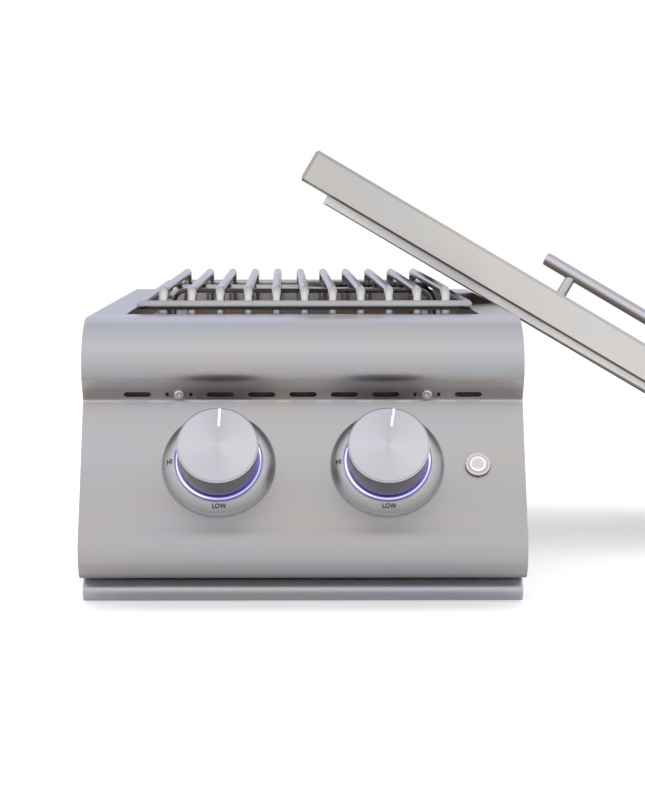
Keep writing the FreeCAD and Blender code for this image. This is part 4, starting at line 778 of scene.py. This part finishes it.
class BURNER_OT_stage(bpy.types.Operator):
    """Set up the camera, floor, background and lamps"""
    bl_idname = "burner.stage"
    bl_label = "Stage"

    def execute(self, context):
        stage = context.scene.burner_stage
        context.scene.view_settings.view_transform = "Standard"
        self.camera(context, stage)
        self.background(context, stage)
        self.floor(stage)
        for name, power, spot, size, tone in LAMPS:
            lamp = bpy.data.lights.new(name, "AREA")
            lamp.energy = getattr(stage, power)
            lamp.shape = "SQUARE"
            lamp.size = size
            lamp.color = tone
            holder = bpy.data.objects.new(name, lamp)
            holder.visible_glossy = False
            holder.location = spot
            aim = LAMP_AIM - Vector(spot)
            holder.rotation_euler = aim.to_track_quat("-Z", "Y").to_euler()
            context.scene.collection.objects.link(holder)
        return {"FINISHED"}

    def camera(self, context, stage):
        lens = bpy.data.cameras.new("photo_camera")
        lens.lens = stage.lens
        lens.sensor_fit = "VERTICAL"
        lens.sensor_height = 36
        lens.clip_end = 200
        holder = bpy.data.objects.new("photo_camera", lens)
        holder.location = stage.camera
        holder.rotation_euler = (stage.pitch, 0, stage.yaw)
        context.scene.collection.objects.link(holder)
        context.scene.camera = holder

    def background(self, context, stage):
        """White to the camera, a soft room to metal, and plain light to all else."""
        finish = Finish("studio", "worlds")
        context.scene.world = finish.owner

        def glow(tone, strength=1.0):
            return finish.node("ShaderNodeBackground", {}, {
                "Color": tone, "Strength": strength})[0]

        def either(share, first, second):
            return finish.node("ShaderNodeMixShader", {}, {
                0: share, 1: first, 2: second})[0]

        _, behind, height = finish.parts(finish.place())
        room = finish.mix(finish.between(behind, 0.25, 0.95, way="SMOOTHSTEP"),
                          tuple(stage.front), tuple(stage.back))
        room = finish.brighten(room, finish.between(
            height * 0.77 - behind * 0.64, 0.78, 0.98, 1.0, 1 + stage.softbox, "SMOOTHSTEP"))
        rays = finish.node("ShaderNodeLightPath", {}, {})
        light = either(rays["Is Glossy Ray"], glow((0.97, 0.98, 1.0), stage.world), glow(room))
        seen = rays["Is Camera Ray"] + rays["Is Transmission Ray"]
        both = either(seen.sum("MINIMUM", seen, 1.0), light, glow((1.0, 1.0, 1.0)))
        finish.node("ShaderNodeOutputWorld", {}, {"Surface": both})

    def floor(self, stage):
        """Pale floor, lit up to white for the camera and, ahead of the object, for metal."""
        finish = Finish("pale_floor")
        spots = finish.noise(finish.place(), 14, 2)
        plain = finish.node("ShaderNodeBsdfDiffuse", {}, {
            "Color": finish.brighten(tuple(stage.floor), 0.99 + spots * 0.02)})[0]
        _, behind, _ = finish.parts(finish.place())
        ahead = finish.between(behind, -0.25, -0.42, 0.0, stage.floor_shine)
        rays = finish.node("ShaderNodeLightPath", {}, {})
        white = rays["Is Camera Ray"] * stage.floor_glow + rays["Is Glossy Ray"] * ahead
        glow = finish.node("ShaderNodeEmission", {}, {
            "Color": (1.0, 1.0, 1.0), "Strength": white})[0]
        both = finish.node("ShaderNodeAddShader", {}, {0: plain, 1: glow})[0]
        mesh = bmesh.new()
        bmesh.ops.create_grid(mesh, x_segments=1, y_segments=1, size=40)
        low = cad_box[0][2] - FLOOR_GAP
        bmesh.ops.translate(mesh, verts=mesh.verts, vec=(0, 0, low))
        floor = new_object(mesh, "floor", finish.show(both))


class BURNER_OT_sheets(bpy.types.Operator):
    """Finish the deck, front panel, end plates and tray strip"""
    bl_idname = "burner.sheets"
    bl_label = "Outer sheets"

    def execute(self, context):
        steel = context.scene.burner_sheet
        brushing = steel.roughness, steel.grain
        panel = brushed_sheet("panel_steel", tuple(steel.panel), *brushing, cloud=0.05,
                              shade=self.bends)
        deck = brushed_sheet("deck_steel", tuple(steel.deck), *brushing, shade=self.front)
        strip = brushed_sheet("strip_steel", tuple(steel.strip), *brushing, shade=self.lip)
        dress("top_deck", "deck_sheet", deck, steel.edge * 1.6, 3)
        dress("front_panel", "panel_sheet", panel, steel.edge)
        dress("tray_front", "tray_strip", strip, steel.edge)
        dress("left_end_plate", "left_cheek", panel, steel.edge)
        dress("right_end_plate", "right_cheek", panel, steel.edge)
        return {"FINISHED"}

    def bends(self, finish, spot):
        """Painted highlight in the crease and on the nose, painted brown shade between, duller
        below.
        """
        _, _, up = spot
        # Painted highlight in the crease and on the nose, painted light and shade by height
        # and belly
        level = 1 + finish.near(abs(up - CREASE), 0.5 * MM, 1.3 * MM, 0.4)
        level = level + finish.near(abs(up - NOSE), 3 * MM, 13 * MM, 0.1)
        belly = finish.between(up, *BELLY_END, 1.0, 0.0)
        level = level + finish.steps(up, PANEL_STEPS) + finish.steps(up, BELLY_STEPS) * belly
        brown = finish.between(up, *BELLY_TOP) * belly
        return level, brown, finish.between(up, *PANEL_DULL, 0.0, 0.16)

    def front(self, finish, spot):
        """A painted highlight, a little brighter ahead of the grate's opening."""
        return finish.between(spot[1], *DECK_FRONT, 1.0, 1.15), 0.0, 0.0

    def lip(self, finish, spot):
        """Painted light along the top of the tray strip."""
        return finish.between(spot[2], *STRIP_TOP, 1.0, 1.75), 0.0, 0.0


class BURNER_OT_grate(bpy.types.Operator):
    """Finish the grate"""
    bl_idname = "burner.grate"
    bl_label = "Grate"

    def execute(self, context):
        steel = context.scene.burner_sheet
        # The bars' lighter forward face and the rail's darker tone are painted light and shade
        paint(polished_rod("grate_rod", tuple(steel.rod), front=0.34), "grate_bars")
        paint(polished_rod("rail_rod", tuple(steel.rail)), "grate_ring", "grate_cross_rod")
        return {"FINISHED"}


class BURNER_OT_burners(bpy.types.Operator):
    """Finish the burners, the pan and the igniters"""
    bl_idname = "burner.burners"
    bl_label = "Burners and pan"

    def execute(self, context):
        steel = context.scene.burner_sheet
        low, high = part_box("burner_pan")
        pan = dull_sheet("pan_steel", tuple(steel.pan), 0.36, (low.z, high.z))
        dress("burner_pan", "pan_sheet", pan, steel.edge)
        paint(cast_iron("burner_casting"), "front_burner_base", "rear_burner_base",
              "front_burner_cap", "rear_burner_cap")
        paint(brass("turned_brass"), "front_burner_ring", "rear_burner_ring", "gas_orifices",
              "gas_inlet", "left_valve", "right_valve", "left_push_collar",
              "right_push_collar")
        paint(moulded("glazed_ceramic", (0.78, 0.76, 0.7), 0.22, 0.00002),
              "front_igniter", "rear_igniter")
        paint(plain_metal("screw_steel", (0.8, 0.78, 0.75), 0.18),
              "burner_screws", "panel_screws", "handle_screws")
        return {"FINISHED"}


class BURNER_OT_box(bpy.types.Operator):
    """Finish the outer box, the tray and what the box carries"""
    bl_idname = "burner.box"
    bl_label = "Box and tray"

    def execute(self, context):
        steel = context.scene.burner_sheet
        inner = dull_sheet("box_steel", tuple(steel.inner), 0.34)
        dress("outer_box", "box_sheet", inner, steel.edge)
        dress("drip_tray", "tray_sheet", inner, steel.edge)
        paint(inner, "tray_rails", "panel_tabs", "manifold_brackets", "supply_pipe",
              "gas_manifold", "left_supply_tube", "right_supply_tube")
        paint(moulded("black_plastic", (0.022, 0.022, 0.024), 0.42),
              "switch_nut", "light_driver", "power_inlet")
        paint(moulded("lead_sleeve", (0.55, 0.52, 0.46), 0.7, 0.0002),
              "light_leads", "spark_leads")
        paint(plain_metal("spring_wire", (0.5, 0.5, 0.52), 0.24),
              "left_return_spring", "right_return_spring", "switch_spring")
        return {"FINISHED"}


class BURNER_OT_knobs(bpy.types.Operator):
    """Finish the knobs and set their lit pointers"""
    bl_idname = "burner.knobs"
    bl_label = "Knobs"

    def execute(self, context):
        knobs = context.scene.burner_knobs
        lamps = context.scene.burner_lamps
        mark = glowing_mark("lit_pointer", lamps.pointer)
        stem = plain_metal("stem_steel", (0.55, 0.55, 0.56), 0.28)
        for side in SIDES:
            face = spun_face(side + "_spun_face", side, tuple(knobs.face))
            # The lit ring's border colour doubles as the grip's painted glow
            grip = lit_grip(side + "_grip_finish", side, tuple(knobs.grip), tuple(lamps.edge))
            dress(side + "_knob", side + "_grip", grip, 0.3 * MM)
            self.face(side, face)
            paint(stem, side + "_stem")
            self.pointer(side, mark)
        return {"FINISHED"}

    def face(self, side, finish):
        """The brushed face, its groove a touch past upright as in the photo."""
        mesh = cad_copy(side + "_knob_face")
        place = frame_matrix(*knob_frame(side))
        past = Matrix.Rotation(FACE_PAST, 4, "Z")
        bmesh.ops.transform(mesh, matrix=place @ past @ place.inverted(), verts=mesh.verts)
        restate(mesh, side + "_knob_face", side + "_face", finish, 0.18 * MM)

    def pointer(self, side, mark):
        """A glowing strip in the groove of the knob face."""
        mesh = bmesh.new()
        bmesh.ops.create_cube(mesh, size=1)
        bmesh.ops.scale(mesh, vec=POINTER_SIZE, verts=mesh.verts)
        bmesh.ops.translate(mesh, vec=POINTER_SPOT, verts=mesh.verts)
        edges = [edge for edge in mesh.edges
                 if abs((edge.verts[0].co - edge.verts[1].co).normalized().z) < 0.5]
        bmesh.ops.bevel(mesh, geom=edges, offset=0.12 * MM, segments=2, affect="EDGES",
                        profile=0.5, material=-1)
        past = Matrix.Rotation(POINTER_PAST[side], 4, "Z")
        bmesh.ops.transform(mesh, matrix=past, verts=mesh.verts)
        bmesh.ops.transform(mesh, matrix=frame_matrix(*knob_frame(side)), verts=mesh.verts)
        put_piece(mesh, side + "_pointer", side + "_knob", "light_ring", mark)


class BURNER_OT_bezels(bpy.types.Operator):
    """Finish the bezels and light rings, and print the words"""
    bl_idname = "burner.bezels"
    bl_label = "Bezels and words"

    def execute(self, context):
        knobs = context.scene.burner_knobs
        lamps = context.scene.burner_lamps
        ink = moulded("printed_black", tuple(knobs.print), 0.5, 0.00001)
        for side in SIDES:
            centre, turn = knob_frame(side)
            satin = satin_ring(side + "_satin", centre, turn, tuple(knobs.bezel))
            dress(side + "_bezel", side + "_bezel_ring", satin, 0.12 * MM)
            glow = lit_ring(side + "_glow", centre, turn, LOBES[side], tuple(lamps.core),
                            tuple(lamps.edge), lamps.strength)
            dress(side + "_light_ring", side + "_lit_ring", glow, 0.2 * MM)
            for text, way, shift, width, height in WORDS:
                spot = [step * knobs.word_radius + aside * MM
                        for step, aside in zip(way, shift)]
                size = (width * MM, height * knobs.letter)
                self.word(side, text, spot, size, knobs.print_lift, ink)
        return {"FINISHED"}

    def word(self, side, text, spot, size, lift, ink):
        """Prints a word of a given width and height, upright and laid on the bezel."""
        name = side + "_word_" + text.lower()
        letters = bpy.data.curves.new(name, "FONT")
        letters.body = text
        letters.align_x = "CENTER"
        letters.align_y = "CENTER"
        letters.size = 1.0
        letters.offset = 0.045
        letters.space_character = 1.1
        holder = bpy.data.objects.new(name + "_text", letters)
        bpy.context.scene.collection.objects.link(holder)
        bpy.context.view_layer.update()
        flat = bpy.data.meshes.new_from_object(holder)
        bpy.data.objects.remove(holder)
        mesh = bmesh.new()
        mesh.from_mesh(flat)
        low, high = corners(vert.co for vert in mesh.verts)
        fit = (size[0] / (high.x - low.x), size[1] / (high.y - low.y), 1)
        bmesh.ops.translate(mesh, vec=-(low + high) / 2, verts=mesh.verts)
        bmesh.ops.scale(mesh, vec=fit, verts=mesh.verts)
        bmesh.ops.translate(mesh, vec=(*spot, 0), verts=mesh.verts)
        for aside in WORD_CUTS:
            for normal in ((1, 0, 0), (0, 1, 0)):
                cut(mesh, (spot[0] + aside, spot[1] + aside, 0), normal)
        place = frame_matrix(*knob_frame(side))
        self.lay_on(mesh, side + "_bezel", place, lift)
        bmesh.ops.transform(mesh, matrix=place, verts=mesh.verts)
        put_piece(mesh, name, "housing", "black_plastic", ink)

    def lay_on(self, mesh, node, place, lift):
        """Lowers a flat drawing onto the node, then gives it a thin wall."""
        below = bmesh.new()
        below.from_mesh(frame["nodes"][node].data)
        bmesh.ops.transform(below, matrix=place.inverted(), verts=below.verts)
        tree = BVHTree.FromBMesh(below)
        below.free()
        for vert in mesh.verts:
            above = Vector((vert.co.x, vert.co.y, 50 * MM))
            spot = tree.ray_cast(above, Vector((0, 0, -1)))[0]
            if spot is None:
                raise RuntimeError("a word runs off the bezel")
            vert.co.z = spot.z + lift
        bmesh.ops.recalc_face_normals(mesh, faces=mesh.faces)
        if sum(face.normal.z for face in mesh.faces) < 0:
            bmesh.ops.reverse_faces(mesh, faces=mesh.faces)
        bmesh.ops.solidify(mesh, geom=mesh.faces[:], thickness=lift * 1.5)


class BURNER_OT_switch(bpy.types.Operator):
    """Finish the lit push switch"""
    bl_idname = "burner.switch"
    bl_label = "Switch"

    def execute(self, context):
        warm = tuple(context.scene.burner_lamps.warm)
        low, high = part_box("switch_light_ring")
        centre = (low + high) / 2
        _, turn = knob_frame("left")
        # The warm circle of light is also painted as a glow on the housing and the button
        for node, name, look, tone, ease in (
            ("switch_housing", "switch_rim", "switch_polish", (0.62, 0.58, 0.6), 0.3),
            ("switch_light_ring", "switch_lit_ring", "switch_glow", (0.5, 0.4, 0.42), 0.12),
            ("switch_button", "switch_cap", "button_satin", (0.66, 0.62, 0.68), 0.15),
        ):
            dress(node, name, self.lit(look, centre, turn, tone, warm), ease * MM)
        return {"FINISHED"}

    def lit(self, name, centre, turn, tone, warm):
        """Polished and rosy, with a warm circle of light and an outer wall painted dark as
        shade.
        """
        finish = Finish(name)
        across, up, _ = finish.parts(finish.place(centre, turn))
        radius = radius_of(across, up)
        # On the housing and the button this warm light is a painted glow
        off = abs(radius - SWITCH_LINE)
        light = finish.near(off, 0.35 * MM, 1.0 * MM, 0.62)
        light = light + finish.near(off, 0.6 * MM, 3.4 * MM, 0.1)
        cloud = finish.noise(finish.place(), 160, 2)
        # Painted shade: the outer wall near black
        wall = finish.between(radius, *SWITCH_WALL, 0.0, 0.95)
        base = finish.mix(wall, tone, (0.03, 0.02, 0.025))
        return finish.surface(
            base_color=finish.brighten(base, 0.94 + cloud * 0.1), metallic=1.0,
            roughness=0.26 + cloud * 0.06, emission_strength=1.0,
            emission_color=finish.brighten(warm, light))


class BURNER_OT_lid(bpy.types.Operator):
    """Finish the lid and its handle"""
    bl_idname = "burner.lid"
    bl_label = "Lid"

    def execute(self, context):
        steel = context.scene.burner_sheet
        place = self.corner()
        centre, turn = place.translation, place.to_euler()
        shell = brushed_sheet("lid_steel", tuple(steel.lid), steel.roughness, steel.grain,
                              centre, turn, cloud=0.04, shade=self.bends)
        liner = brushed_sheet("liner_steel", tuple(steel.liner), steel.roughness + 0.06,
                              steel.grain, centre, turn, shade=self.tucked,
                              brown=(1.0, 0.66, 0.46))
        low, high = corners(seen_from(place, "handle_bar"))
        radius = (high.z - low.z) / 2
        bar = grip_bar("handle_steel", (0.64, 0.64, 0.66), centre, turn, low.z + radius,
                       radius)
        self.shell(place, shell, steel.edge)
        dress("lid_liner", "liner_sheet", liner, steel.edge)
        dress("handle_bar", "handle_grip", bar, 0.6 * MM, 3)
        paint(lit_post("post_steel", (0.6, 0.6, 0.63)), "handle_posts")
        return {"FINISHED"}

    def corner(self):
        """Frame of the lid: X down its length from the upper end, Z out of its top.

        It also keeps the shell's length, half width and depth, and from the liner's lower edge
        its depth below the top, its half width and where it starts and ends along X.
        """
        lean = Matrix.Rotation(LID_LEAN, 4, "Y")
        low, high = corners(seen_from(lean, "lid_shell"))
        size = high - low
        self.length, self.half, self.skirt = size.x, size.y / 2, size.z
        liner = seen_from(lean, "lid_liner")
        foot = corners(liner)[0].z
        self.rim = high.z - foot
        first, last = corners(spot for spot in liner if spot.z < foot + 1 * MM)
        self.wall = (last.y - first.y) / 2
        self.ends = (first.x - low.x, last.x - low.x)
        middle = lean @ Vector((low.x, (low.y + high.y) / 2, high.z))
        return Matrix.Translation(middle) @ lean

    def bends(self, finish, spot):
        """Painted light down its length, and painted shade along the bends at its sides and
        ends.
        """
        along, across, up = spot
        side = finish.between(abs(across), self.half - 3.1 * MM, self.half - LID_BEND)
        top = finish.between(up, -3.2 * MM, -LID_BEND)
        ends = finish.between(along, 3.4 * MM, LID_BEND) + finish.between(
            along, self.length - 3.4 * MM, self.length - LID_BEND)
        bright = finish.between(along, 0.02, 0.2, 1.0, 1.17, "SMOOTHSTEP")
        return bright - side * finish.between(top + ends, 0.0, 1.0, 0.0, 0.34), 0.0, 0.0

    def tucked(self, finish, spot):
        """Painted shade where it meets the shell and along its lower edge, brown inside."""
        along, across, up = spot
        first, last = self.ends
        near, far = LINER_SKIN
        inside = finish.between(abs(across), self.wall - near, self.wall - far)
        inside = inside * finish.between(along, first + near, first + far)
        inside = inside * finish.between(along, last - near, last - far)
        # Painted shadow just under the shell's skirt
        tuck = finish.between(up, -self.skirt - 2.4 * MM, -self.skirt - 1.6 * MM)
        # Painted shade along the lower edge, wider towards the lid's lower end
        strip = finish.between(along, self.length * 0.2, self.length * 0.75, 0.0, 3.4 * MM)
        foot = finish.between(up + self.rim - strip, 0.3 * MM, -0.3 * MM)
        level = 1.08 - tuck * 0.8 - foot * 0.75
        return level, inside + tuck * (1 - inside) * 0.5, 0.0

    def shell(self, place, finish, edge):
        """The shell with the lower corners of its ends rounded off."""
        mesh = cad_copy("lid_shell")
        bmesh.ops.transform(mesh, matrix=place.inverted(), verts=mesh.verts)
        for degrees, depth in CORNER_CUTS:
            slope = math.radians(degrees)
            for end, way in ((0.0, -1), (self.length, 1)):
                out = Vector((way * math.cos(slope), 0, -math.sin(slope)))
                spot = Vector((end, 0, -self.skirt)) - out * depth * MM
                rim = [item for item in cut(mesh, spot, out, clear=True)
                       if isinstance(item, bmesh.types.BMEdge)]
                bmesh.ops.holes_fill(mesh, edges=rim)
        bmesh.ops.transform(mesh, matrix=place, verts=mesh.verts)
        bmesh.ops.recalc_face_normals(mesh, faces=mesh.faces)
        restate(mesh, "lid_shell", "lid_sheet", finish, edge * 1.4, 3)


OPERATORS = (
    BURNER_OT_stage, BURNER_OT_sheets, BURNER_OT_grate, BURNER_OT_burners, BURNER_OT_box,
    BURNER_OT_knobs, BURNER_OT_bezels, BURNER_OT_switch, BURNER_OT_lid,
)


class BURNER_PT_panel(bpy.types.Panel):
    """Lists the steps and settings of the side burner"""
    bl_idname = "BURNER_PT_panel"
    bl_label = "Side burner"
    bl_space_type = "VIEW_3D"
    bl_region_type = "UI"
    bl_category = "Side burner"

    def draw(self, context):
        for operator in OPERATORS:
            self.layout.operator(operator.bl_idname)
        for name in GROUPS:
            settings = getattr(context.scene, name)
            box = self.layout.box()
            for key in settings.__annotations__:
                box.prop(settings, key)


def register():
    for name, group in GROUPS.items():
        bpy.utils.register_class(group)
        setattr(bpy.types.Scene, name, PointerProperty(type=group))
    for operator in OPERATORS:
        bpy.utils.register_class(operator)
    bpy.utils.register_class(BURNER_PT_panel)


def unregister():
    bpy.utils.unregister_class(BURNER_PT_panel)
    for operator in reversed(OPERATORS):
        bpy.utils.unregister_class(operator)
    for name, group in GROUPS.items():
        delattr(bpy.types.Scene, name)
        bpy.utils.unregister_class(group)


def main():
    register()
    for operator in OPERATORS:
        group, name = operator.bl_idname.split(".")
        getattr(getattr(bpy.ops, group), name)()


if __name__ == "__main__":
    main()
